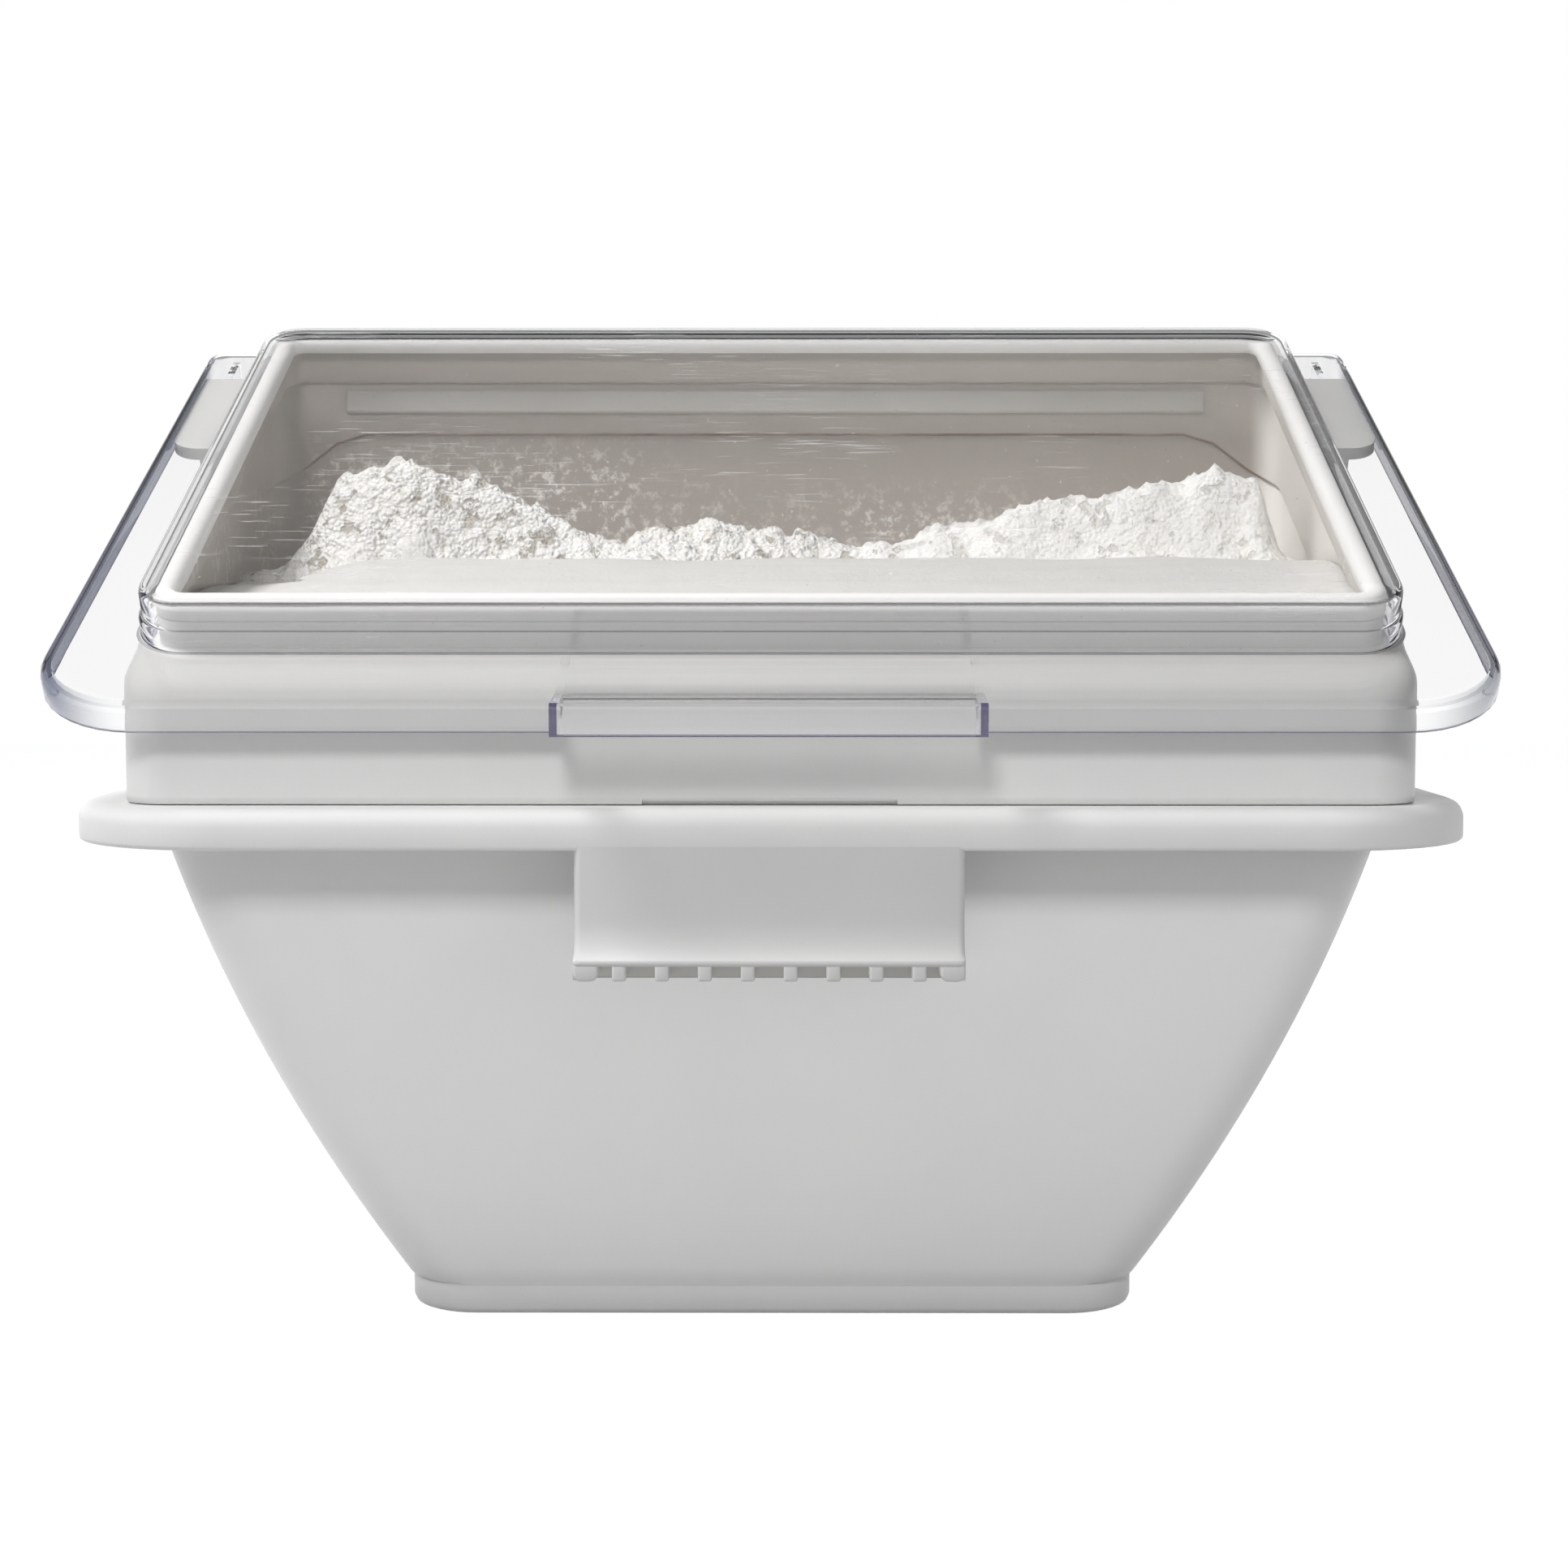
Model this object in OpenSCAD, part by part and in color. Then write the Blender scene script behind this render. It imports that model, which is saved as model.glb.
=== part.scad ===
// Flour bin: a tapered tub with a wide rim, a lift-off hood with a slanted mouth, and a clear hinged lid.
// The origin is at the middle of the foot's underside. The front faces -Y and +Z is up. Sizes are in mm.

/* [Tub] */
// Height of the tub, from the floor to the top of the rim
tub_h = 190; // [170:1:220]
// Width of the rim, side to side
rim_w = 487; // [475:1:560]
// Depth of the rim, front to back
rim_d = 284; // [278:1:340]
// Corner radius of the rim, seen from above
rim_r = 58; // [45:1:65]
// Height of the turned-down lip of the rim
rim_lip_h = 14; // [9:0.5:20]
// How far the rim stands out from the wall below it
rim_reach = 28.3; // [24:0.1:32]
// Thickness of the tub's walls
tub_wall = 3; // [2:0.1:4]
// Width of the foot
foot_w = 267; // [220:1:320]
// Depth of the foot
foot_d = 152; // [120:1:190]
// Height of the foot
foot_h = 11; // [6:0.5:18]
// How far the wall stands out over the foot
foot_step = 0.5; // [0.2:0.1:8]
// Corner radius of the foot, seen from above
foot_r = 26; // [18:1:40]
// How far the side walls bulge past a straight taper
side_bulge = 7.9; // [2:0.1:12]
// How far the front and back walls bulge past a straight taper
front_bulge = 4; // [1:0.1:8]
// Height of the upstand on the rim that locates the hood
upstand_h = 8; // [5:0.5:14]

/* [Handle] */
// Width of the pull handle under the rim
handle_w = 130; // [90:1:170]
// Height of the handle's face below the rim
handle_h = 38.2; // [32:0.1:50]
// How far the face flares out at its lower edge
handle_flare = 7.5; // [4:0.5:12]
// Thickness of the handle's face and ends
handle_wall = 3.6; // [2.5:0.1:5]
// Number of grip ribs behind the lower edge
handle_ribs = 8; // [5:1:10]
// Width of one grip rib
rib_w = 4.8; // [3:0.1:6]
// How far the ribs hang below the face
rib_drop = 4.4; // [3:0.1:9]
// Width of the solid corners at both ends of the ribs
rib_end_w = 8.4; // [6:0.1:12]

/* [Hood] */
// Width of the hood
hood_w = 443; // [440:1:448]
// Depth of the hood
hood_d = 252; // [248:1:258]
// Corner radius of the hood, seen from above
hood_r = 18; // [12:1:24]
// Thickness of the hood's walls
hood_wall = 3; // [2:0.1:4]
// Height of the hood's front wall above the rim
hood_front_h = 40.4; // [34:0.1:60]
// Slope of the mouth and lid, in degrees
slope = 27; // [20:0.5:32]
// Height of the neck around the mouth, square to the slope
neck_h = 12; // [7:0.5:14]
// Width of the seal on the neck
seal_w = 7.5; // [5:0.1:10]
// Width of the notch for prising the hood off the rim
notch_w = 86; // [40:1:120]
// Height of that notch
notch_h = 1.4; // [1:0.1:3]

/* [Lid] */
// Width of the lid
lid_w = 499; // [490:1:520]
// How far the lid reaches past the front of the hood, along the slope
lid_front = 19; // [12:1:26]
// How far the lid reaches past the back of the hood, along the slope
lid_rear = 17; // [15:0.5:20]
// Thickness of the clear sheet
lid_t = 2.6; // [2:0.1:3.2]
// Radius of the lid's front corners
lid_front_r = 38; // [25:1:50]
// Radius of the lid's rear corners
lid_rear_r = 8; // [5:0.5:14]
// Height of the lip that is turned down round the lid
side_lip_h = 8; // [5:0.5:9]
// Height of the skirt along the back
rear_skirt_h = 24; // [20:0.5:25]
// Width of the raised window
window_w = 438; // [434:1:441]
// Distance from the hood's front to the raised window, along the slope
window_front = 18; // [15:0.5:24]
// Length of the raised window, along the slope
window_l = 264; // [254:1:265]
// Corner radius of the raised window
window_r = 18; // [12:1:26]
// Height of the raised window above the flange
window_h = 18.5; // [17.5:0.1:22]
// Height of the lower step of the window's edge
window_step_h = 8; // [5:0.5:12]
// How far the upper step is set in
window_step = 1.2; // [0.5:0.1:1.5]
// Width of the pull at the front of the lid
grip_w = 142; // [100:1:180]
// How far the pull stands out past the lid's front edge, along the slope
grip_reach = 14; // [10:0.5:18]
// How far the pull rises above the flange at its front
grip_rise = 8.6; // [6:0.1:12]
// Height of the lip that hangs from the pull
grip_lip_h = 10.7; // [8:0.1:13]

/* [Hinge] */
// Depth of the hinge axis under the hood's slanted top
hinge_drop = 18.6; // [17:0.1:20]
// Distance from the lid's rear edge to the hinge axis, along the slope
hinge_setback = 18.6; // [17:0.1:20]
// Radius of the hinge pins
pin_r = 3; // [2:0.1:3.5]
// Thickness of the arms on the hood
arm_t = 12; // [8:0.5:13]
// Radius of the arms' round ends
arm_r = 8; // [7:0.1:8.5]
// Length of the arms, from the hinge axis to the front end
arm_l = 84; // [70:1:100]
// Thickness of the wide plate that stiffens each arm
arm_plate_t = 5; // [3:0.1:7]
// Thickness of the lid's hinge cheeks
cheek_t = 3; // [2.5:0.1:3.5]

/* [Flour] */
// Height of the flour above the rim at the front
flour_front_h = 38; // [10:1:39]
// How much higher the flour stands at the foot of the ridge
flour_rise = 46; // [20:1:50]
// Height of the ridge's highest peak above its foot
heap_h = 42; // [10:1:48]

/* [Hidden] */
$fn = 48;
// Gaps between pieces that move apart, pieces that only sit together, and a pin in its running bore
lid_gap = 0.4;
seat_gap = 0.3;
hinge_gap = 0.5;
running_gap = 0.05;
// Gap that lets the neck swing out of the window, and the gap around the flour
swing_gap = 2.5;
flour_gap = 1.2;
// Overrun of a cut past the face that it goes through
over = 1;
// Points on each corner of a ring, and rings up each curved wall
corner_points = 6;
wall_rings = 9;
// Points on each corner, long edge and short edge of the flour's rings, and rings across its top
flour_corner_points = 2;
flour_long_points = 26;
flour_short_points = 8;
top_rings = 16;

rim_top = tub_h;
rim_under = tub_h - tub_wall;
lip_z = tub_h - rim_lip_h;
rim_round = tub_wall + 2 * seat_gap;
wall_low_z = foot_h + seat_gap;
floor_z = foot_h + tub_wall;
top_w = rim_w - 2 * rim_reach;
top_d = rim_d - 2 * rim_reach;
top_r = 1.1 * foot_r;
low_w = foot_w + 2 * foot_step;
low_d = foot_d + 2 * foot_step;
foot_edge = foot_h / 5;
upstand_w = hood_w - 2 * (hood_wall + seat_gap);
upstand_d = hood_d - 2 * (hood_wall + seat_gap);
upstand_r = hood_r - hood_wall;

hood_z = rim_top + seat_gap;
shoulder_front_z = rim_top + hood_front_h;
hood_slope_l = hood_d / cos(slope);
hood_top_z = shoulder_front_z + hood_d * tan(slope);
ledge_w = 0.84 * hood_w;
ledge_h = 3.3 * hood_wall;
ledge_depth = 1.5 * hood_wall;
ledge_drop = 3.4 * hood_wall;

flange_z0 = lid_gap;
flange_z1 = lid_gap + lid_t;
window_rear = window_front + window_l;
window_top = flange_z1 + window_h;
window_under = window_top - lid_t;
neck_inset = lid_t + window_step + swing_gap;
neck_w = window_w - 2 * neck_inset;
neck_front = window_front + neck_inset;
neck_rear = window_rear - neck_inset;
neck_r = max(window_r - neck_inset, seal_w + over);
seal_top = window_under - seat_gap;
lid_back = hood_slope_l + lid_rear;
grip_back = window_front - 3 * lid_t;
grip_front = -lid_front - grip_reach;

hinge_s = lid_back - hinge_setback;
hinge_n = -hinge_drop;
arm_x = hood_w / 2;
cheek_x = arm_x + arm_t + hinge_gap;
head_x = cheek_x + cheek_t + hinge_gap;
head_t = cheek_t;
head_r = 1.6 * pin_r;
head_l = 2.2 * head_r;
cheek_r = arm_r - hinge_gap;
arm_front = hinge_s - arm_l;
plate_x = lid_w / 2 - lid_t - 2 * hinge_gap;
plate_top = -hinge_gap;
plate_rear = hinge_s - cheek_r - 4 * hinge_gap;
plate_r = (plate_x - arm_x) / 2;

white = [0.93, 0.93, 0.92];
shade_white = [0.86, 0.85, 0.83];
flour_white = [0.97, 0.95, 0.91];
clear_tint = [0.82, 0.84, 0.88, 0.35];

// Points of a round-cornered rectangle at one height, anticlockwise from the right
function ring(w, d, r, z) = [
    for (q = [0:3])
        for (i = [0:corner_points])
            let (turn = 90 * (q + i / corner_points))
            let (side_x = (q == 0 || q == 3) ? 1 : -1)
            let (side_y = q < 2 ? 1 : -1)
            [side_x * (w / 2 - r) + r * cos(turn), side_y * (d / 2 - r) + r * sin(turn), z]
];

// Closed solid through a stack of rings that all have the same number of points. Its ends are flat polygons, or
// fans round the two middle points that are given.
module ring_stack(rings, middles = []) {
    count = len(rings[0]);
    points = concat([for (one = rings) each one], middles);
    last = (len(rings) - 1) * count;
    sides = [
        for (k = [0:len(rings) - 2])
            for (i = [0:count - 1])
                let (a = k * count + i)
                let (b = k * count + (i + 1) % count)
                each [[a, a + count, b], [b, a + count, b + count]]
    ];
    flat_caps = [[for (i = [0:count - 1]) i], [for (i = [count - 1:-1:0]) last + i]];
    fan_caps = [
        for (i = [0:count - 1])
            let (next = (i + 1) % count)
            each [[i, next, last + count], [last + i, last + count + 1, last + next]]
    ];
    polyhedron(points, concat(sides, len(middles) == 0 ? flat_caps : fan_caps), convexity = 8);
}

// Share of the way up a curved wall, and how far the wall stands past a straight taper there
function wall_share(z) = (z - wall_low_z) / (rim_under - wall_low_z);
function wall_bulge(share, bulge) = 4 * bulge * share * (1 - share);
function wall_w(z) = low_w + (top_w - low_w) * wall_share(z) + 2 * wall_bulge(wall_share(z), side_bulge);
function wall_d(z) = low_d + (top_d - low_d) * wall_share(z) + 2 * wall_bulge(wall_share(z), front_bulge);
function wall_r(z) = foot_r + (top_r - foot_r) * wall_share(z);
function wall_ring(z, inset) =
    ring(wall_w(z) - 2 * inset, wall_d(z) - 2 * inset, max(wall_r(z) - inset, tub_wall), z);
function steps(from, to, count) = [for (i = [0:count]) from + (to - from) * i / count];

// Solid on the hood's slanted top: x is across, y runs up the slope from the hood's front, z is square to it
module on_slope() {
    translate([0, -hood_d / 2, shoulder_front_z]) rotate([slope, 0, 0]) children();
}

// Flat round-cornered outline between a front and a rear edge
module outline(w, front, rear, r) {
    translate([-w / 2, front + r]) square([w, rear - front - 2 * r]);
    translate([-w / 2 + r, front]) square([w - 2 * r, rear - front]);
    for (side = [-1, 1])
        for (y = [front + r, rear - r])
            translate([side * (w / 2 - r), y]) circle(r);
}

// Slab of that outline between two heights
module slab(w, front, rear, r, z0, z1) {
    translate([0, 0, z0]) linear_extrude(z1 - z0) outline(w, front, rear, r);
}

// Bar of a side profile, drawn front to back and upwards, centred across the width
module bar(w, points) {
    rotate([90, 0, 90]) linear_extrude(w, center = true) polygon(points);
}

// Tub with its foot, curved walls, turned-down rim and the upstand that locates the hood
module tub() {
    outer_z = steps(wall_low_z, rim_under, wall_rings);
    inner_z = steps(rim_under, floor_z, wall_rings);
    color(white) ring_stack(concat(
        [
            ring(foot_w - 2 * foot_edge, foot_d - 2 * foot_edge, foot_r - foot_edge, 0),
            ring(foot_w, foot_d, foot_r, foot_edge),
            ring(foot_w, foot_d, foot_r, foot_h),
        ],
        [for (z = outer_z) wall_ring(z, 0)],
        [
            ring(rim_w - 2 * tub_wall, rim_d - 2 * tub_wall, rim_r - tub_wall, rim_under),
            ring(rim_w - 2 * tub_wall, rim_d - 2 * tub_wall, rim_r - tub_wall, lip_z),
            ring(rim_w, rim_d, rim_r, lip_z),
            ring(rim_w, rim_d, rim_r, rim_top - rim_round),
            ring(rim_w - rim_round / 2, rim_d - rim_round / 2, rim_r - rim_round / 4, rim_top - rim_round / 3),
            ring(rim_w - 2 * rim_round, rim_d - 2 * rim_round, rim_r - rim_round, rim_top),
            ring(upstand_w, upstand_d, upstand_r, rim_top),
            ring(upstand_w, upstand_d, upstand_r, rim_top + upstand_h),
            ring(upstand_w - 2 * tub_wall, upstand_d - 2 * tub_wall, upstand_r - tub_wall, rim_top + upstand_h),
            ring(upstand_w - 2 * tub_wall, upstand_d - 2 * tub_wall, upstand_r - tub_wall, rim_top),
        ],
        [for (z = inner_z) wall_ring(z, tub_wall)]
    ));
}

// Pull handle under the front of the rim: a flared face with two ends, grip ribs and the rail behind them
module pull_handle() {
    face_y = -rim_d / 2;
    face_low = lip_z - handle_h;
    rib_low = face_low - rib_drop;
    rib_top = face_low + handle_wall;
    rib_front = face_y - handle_flare + handle_wall / 3;
    slot_front = face_y - handle_flare / 2 + handle_wall;
    rail_front = face_y + handle_flare - handle_wall / 2;
    rail_back = rail_front + handle_wall;
    bend_z = lip_z - handle_h / 2;
    inner_w = handle_w - 2 * handle_wall;
    pitch = (inner_w + rib_w) / (handle_ribs + 1);
    arc_shares = [for (i = [0:corner_points]) i / corner_points];
    outer = [
        for (t = arc_shares)
            [face_y - handle_flare * (1 - cos(90 * t)), bend_z - (bend_z - face_low) * sin(90 * t)]
    ];
    section = concat(
        [[face_y, lip_z]],
        outer,
        [
            [rib_front, face_low],
            [rib_front, rib_low],
            [-wall_d(rib_low) / 2 - 2 * seat_gap, rib_low],
            [-wall_d(lip_z) / 2 - 2 * seat_gap, lip_z],
        ]
    );
    hollow = [
        [face_y + handle_wall, lip_z + over],
        [face_y + handle_wall, bend_z],
        [slot_front, rib_top],
        [rail_back + over, rib_top],
        [rail_back + over, lip_z + over],
    ];
    color(white) difference() {
        bar(handle_w, section);
        bar(inner_w, hollow);
        translate([-inner_w / 2, rail_back, rib_low - over])
            cube([inner_w, rim_d / 2, handle_h + rib_drop + 2 * over]);
        for (i = [0:handle_ribs]) {
            slot_x = max(i * pitch - inner_w / 2, rib_end_w - handle_w / 2);
            slot_w = min(i * pitch - inner_w / 2 + pitch - rib_w, handle_w / 2 - rib_end_w) - slot_x;
            translate([slot_x, slot_front, rib_low - over])
                cube([slot_w, rail_front - slot_front, rib_top - rib_low + 2 * over]);
            translate([slot_x, rib_front - over, rib_low - over])
                cube([slot_w, rail_front - rib_front, rib_drop + over + handle_wall / 4]);
        }
    }
}

// Height of the flour's ridge, in shares of its highest peak, against shares of the hood's half width
crest_shares = [
    [-1, -0.14], [-0.9, -0.05], [-0.85, 0.33], [-0.8, 0.76], [-0.695, 1], [-0.58, 0.88], [-0.46, 0.64],
    [-0.37, 0.38], [-0.31, 0.24], [-0.1, 0.38], [0, 0.33], [0.135, 0.17], [0.27, 0.31], [0.44, 0.57],
    [0.64, 0.71], [0.8, 0.93], [0.87, 0.81], [0.92, 0.1], [1, -0.14],
];
// Place of the ridge and of its face, in shares of the hood's half depth, and the slope behind it
ridge_share = 0.333;
face_share = 0.27;
back_slope_share = 0.32;
// Start and length of the smooth rise in front of the ridge, in shares of the hood's half depth
rise_start_share = -1.016;
rise_length_share = 1.19;

function ease(t) =
    let (share = min(max(t, 0), 1))
    share * share * (3 - 2 * share);
function flour_z(x, y) =
    let (half = hood_d / 2)
    let (low_z = rim_top + flour_front_h)
    let (band = low_z + flour_rise * sin(90 * ease((y / half - rise_start_share) / rise_length_share)))
    let (crest = low_z + flour_rise + heap_h * lookup(2 * x / hood_w, crest_shares))
    let (behind = max(y - ridge_share * half, 0) * back_slope_share)
    let (face = ease((y / half - ridge_share + face_share) / face_share))
    band + (max(crest - behind, low_z + 0.75 * flour_rise) - band) * face;

// Ring with points along its straight edges too
function dense_ring(w, d, r, z) =
    let (corners = [
        for (q = [0:3])
            let (side_x = (q == 0 || q == 3) ? 1 : -1)
            let (side_y = q < 2 ? 1 : -1)
            [
                for (i = [0:flour_corner_points])
                    let (turn = 90 * (q + i / flour_corner_points))
                    [side_x * (w / 2 - r) + r * cos(turn), side_y * (d / 2 - r) + r * sin(turn), z]
            ]
    ])
    [
        for (q = [0:3])
            let (from = corners[q][flour_corner_points])
            let (to = corners[(q + 1) % 4][0])
            let (count = q % 2 == 0 ? flour_long_points : flour_short_points)
            each concat(corners[q], [for (i = [1:count]) from + (to - from) * i / (count + 1)])
    ];

// Loose flour that fills the tub and heaps up into the hood
module flour_fill() {
    inset = tub_wall + flour_gap;
    low_z = floor_z + flour_gap;
    mouth_w = upstand_w - 2 * inset;
    mouth_d = upstand_d - 2 * inset;
    mouth_r = upstand_r - tub_wall;
    function side_ring(z) =
        dense_ring(wall_w(z) - 2 * inset, wall_d(z) - 2 * inset, wall_r(z) - inset, z);
    function top_ring(k) = [
        for (p = dense_ring(mouth_w, mouth_d, mouth_r, 0))
            let (x = p[0] * (1 - k))
            let (y = p[1] * (1 - k))
            [x, y, flour_z(x, y)]
    ];
    rings = concat(
        [for (z = steps(low_z, rim_under, wall_rings)) side_ring(z)],
        [dense_ring(mouth_w, mouth_d, mouth_r, rim_top + flour_gap)],
        [for (k = [0:top_rings - 1]) top_ring(k / top_rings)]
    );
    color(flour_white) ring_stack(rings, [[0, 0, low_z], [0, 0, flour_z(0, 0)]]);
}

// Everything below a plane that lies at a given height over the slanted top
module below_slope(height) {
    reach = hood_w + hood_top_z;
    on_slope() translate([-reach, -reach, height - 2 * reach]) cube(2 * reach);
}

// Hood: upright walls under a slanted top, with a neck round the mouth, an inner ledge and a prising notch
module hood() {
    inner_w = hood_w - 2 * hood_wall;
    inner_d = hood_d - 2 * hood_wall;
    inner_r = hood_r - hood_wall;
    mouth_r = max(neck_r - hood_wall, hood_wall);
    color(white) difference() {
        union() {
            intersection() {
                slab(hood_w, -hood_d / 2, hood_d / 2, hood_r, hood_z, hood_top_z + over);
                below_slope(0);
            }
            on_slope() slab(neck_w, neck_front, neck_rear, neck_r, -hood_wall / 2, neck_h);
        }
        difference() {
            intersection() {
                slab(inner_w, -inner_d / 2, inner_d / 2, inner_r, hood_z - over, hood_top_z);
                below_slope(-hood_wall);
            }
            translate([-ledge_w / 2, inner_d / 2 - ledge_depth, hood_top_z - ledge_drop - ledge_h])
                cube([ledge_w, hood_wall + ledge_depth, ledge_h]);
        }
        on_slope()
            slab(
                neck_w - 2 * hood_wall, neck_front + hood_wall, neck_rear - hood_wall, mouth_r,
                -2 * hood_wall, neck_h + over
            );
        translate([-notch_w / 2, -hood_d / 2 - over, hood_z - over])
            cube([notch_w, hood_wall / 2 + over, notch_h + over]);
    }
}

// Soft seal that sits on the neck and closes against the window
module mouth_seal() {
    inner_r = max(neck_r - seal_w, over);
    color(shade_white) on_slope() difference() {
        slab(neck_w, neck_front, neck_rear, neck_r, neck_h, seal_top);
        slab(
            neck_w - 2 * seal_w, neck_front + seal_w, neck_rear - seal_w, inner_r,
            neck_h - over, seal_top + over
        );
    }
}

// Plate of a hinge arm, seen square to the slope: it fills the space beside the hood and rounds off at its front
module arm_plate() {
    translate([arm_x, arm_front + plate_r]) square([plate_x - arm_x, plate_rear - arm_front - plate_r]);
    translate([arm_x, arm_front]) square([plate_r, plate_r + over]);
    translate([plate_x - plate_r, arm_front + plate_r]) circle(plate_r);
}

// Hinge arm on one side of the hood, with the bore that holds its pin
module hinge_arm(side) {
    color(white) mirror([side < 0 ? 1 : 0, 0, 0]) on_slope() difference() {
        union() {
            translate([arm_x, arm_front, hinge_n - arm_r]) cube([arm_t, arm_l, 2 * arm_r]);
            translate([arm_x, arm_front, hinge_n]) cube([arm_t, plate_rear - arm_front, plate_top - hinge_n]);
            translate([arm_x, hinge_s, hinge_n]) rotate([0, 90, 0]) cylinder(arm_t, r = arm_r);
            translate([0, 0, plate_top - arm_plate_t]) linear_extrude(arm_plate_t) arm_plate();
        }
        translate([arm_x - over, hinge_s, hinge_n])
            rotate([0, 90, 0])
                cylinder(arm_t + 2 * over, r = pin_r + running_gap / 2);
    }
}

// Hinge pin with a long rounded head outside the lid's cheek
module hinge_pin(side) {
    color(white) mirror([side < 0 ? 1 : 0, 0, 0]) on_slope() translate([0, hinge_s, hinge_n]) {
        translate([arm_x + seat_gap, 0, 0]) rotate([0, 90, 0]) cylinder(head_x - arm_x, r = pin_r);
        translate([head_x, 0, 0]) rotate([-slope, 0, 0]) {
            translate([0, -head_r, -head_l / 2]) cube([head_t, 2 * head_r, head_l]);
            for (end = [-1, 1])
                translate([0, 0, end * head_l / 2]) rotate([0, 90, 0]) cylinder(head_t, r = head_r);
        }
    }
}

// Side profile of the lid's pull: a plate that rises off the flange and a lip that hangs upright from it
function grip_tip() = [grip_front, flange_z1 + grip_rise];
function grip_drop() = [-grip_lip_h * sin(slope), -grip_lip_h * cos(slope)];
function grip_foot() = [grip_back, flange_z1];

// Outline of the lid, or one set in from it, with wide front corners and tight rear ones
module lid_outline(inset) {
    w = lid_w - 2 * inset;
    front = inset - lid_front;
    rear = lid_back - inset;
    front_r = lid_front_r - inset;
    rear_r = lid_rear_r - inset;
    translate([-w / 2, front + front_r]) square([w, rear - front - front_r - rear_r]);
    translate([front_r - w / 2, front]) square([w - 2 * front_r, front_r + over]);
    translate([rear_r - w / 2, rear - rear_r - over]) square([w - 2 * rear_r, rear_r + over]);
    for (side = [-1, 1]) {
        translate([side * (w / 2 - front_r), front + front_r]) circle(front_r);
        translate([side * (w / 2 - rear_r), rear - rear_r]) circle(rear_r);
    }
}

// Clear lid: a flange with turned-down edges, a raised window, a pull at the front and two hinge cheeks
module lid() {
    web = [
        grip_foot(), grip_tip(), grip_tip() + grip_drop(), [-lid_front, flange_z0 - side_lip_h],
        [lid_t - lid_front, flange_z0 - side_lip_h], [lid_t - lid_front, flange_z0], [grip_back, flange_z0],
    ];
    plate = [
        grip_foot(), grip_tip(), grip_tip() + grip_drop(), grip_tip() + grip_drop() + [lid_t, 0],
        grip_tip() + [lid_t, -lid_t], [grip_back + lid_t, flange_z0],
    ];
    color(clear_tint) on_slope() difference() {
        union() {
            difference() {
                translate([0, 0, flange_z0 - side_lip_h]) linear_extrude(side_lip_h + lid_t) lid_outline(0);
                translate([0, 0, flange_z0 - side_lip_h - over])
                    linear_extrude(side_lip_h + over)
                        lid_outline(lid_t);
                translate([-grip_w / 2, -lid_front - over, flange_z0 - side_lip_h - over])
                    cube([grip_w, lid_front + over + grip_back, side_lip_h + lid_t + 2 * over]);
            }
            slab(window_w, window_front, window_rear, window_r, flange_z0, flange_z1 + window_step_h);
            slab(
                window_w - 2 * window_step, window_front + window_step, window_rear - window_step,
                window_r - window_step, flange_z1, window_top
            );
            bar(grip_w, plate);
            for (side = [-1, 1]) {
                translate([side * (grip_w - lid_t) / 2, 0, 0]) bar(lid_t, web);
                translate([side * (cheek_x + cheek_t / 2) - cheek_t / 2, hinge_s - cheek_r, hinge_n])
                    cube([cheek_t, 2 * cheek_r, flange_z0 + lid_t / 2 - hinge_n]);
                translate([side * (cheek_x + cheek_t / 2) - cheek_t / 2, hinge_s, hinge_n])
                    rotate([0, 90, 0])
                        cylinder(cheek_t, r = cheek_r);
            }
            translate([-lid_w / 2 + lid_rear_r, lid_back - lid_t, flange_z0 - rear_skirt_h])
                cube([lid_w - 2 * lid_rear_r, lid_t, rear_skirt_h + lid_t / 2]);
        }
        slab(
            window_w - 2 * (lid_t + window_step), window_front + lid_t + window_step,
            window_rear - lid_t - window_step, window_r - lid_t - window_step,
            flange_z0 - over, window_under
        );
        for (side = [-1, 1])
            translate([side * (cheek_x + cheek_t / 2) - cheek_t / 2 - over / 4, hinge_s, hinge_n])
                rotate([0, 90, 0])
                    cylinder(cheek_t + over / 2, r = pin_r + running_gap);
    }
}

tub();
pull_handle();
flour_fill();
hood();
mouth_seal();
hinge_arm(-1);  // hinge_arm_left
hinge_arm(1);  // hinge_arm_right
hinge_pin(-1);  // hinge_pin_left
hinge_pin(1);  // hinge_pin_right
lid();
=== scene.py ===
import math

import bpy
import numpy as np
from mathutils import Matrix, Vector, noise


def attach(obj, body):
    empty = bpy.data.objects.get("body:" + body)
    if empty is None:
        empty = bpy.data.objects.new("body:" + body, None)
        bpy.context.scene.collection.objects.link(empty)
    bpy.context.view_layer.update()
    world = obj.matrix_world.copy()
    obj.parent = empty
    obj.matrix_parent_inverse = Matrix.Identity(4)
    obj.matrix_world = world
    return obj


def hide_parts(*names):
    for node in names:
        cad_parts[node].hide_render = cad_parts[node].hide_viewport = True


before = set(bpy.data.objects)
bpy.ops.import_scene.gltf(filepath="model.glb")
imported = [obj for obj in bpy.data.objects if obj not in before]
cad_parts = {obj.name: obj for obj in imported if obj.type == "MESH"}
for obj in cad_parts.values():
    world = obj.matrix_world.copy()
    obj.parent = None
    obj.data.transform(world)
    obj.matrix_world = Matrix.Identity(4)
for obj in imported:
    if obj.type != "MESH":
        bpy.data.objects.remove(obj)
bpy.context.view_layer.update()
MM = 0.001

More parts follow.
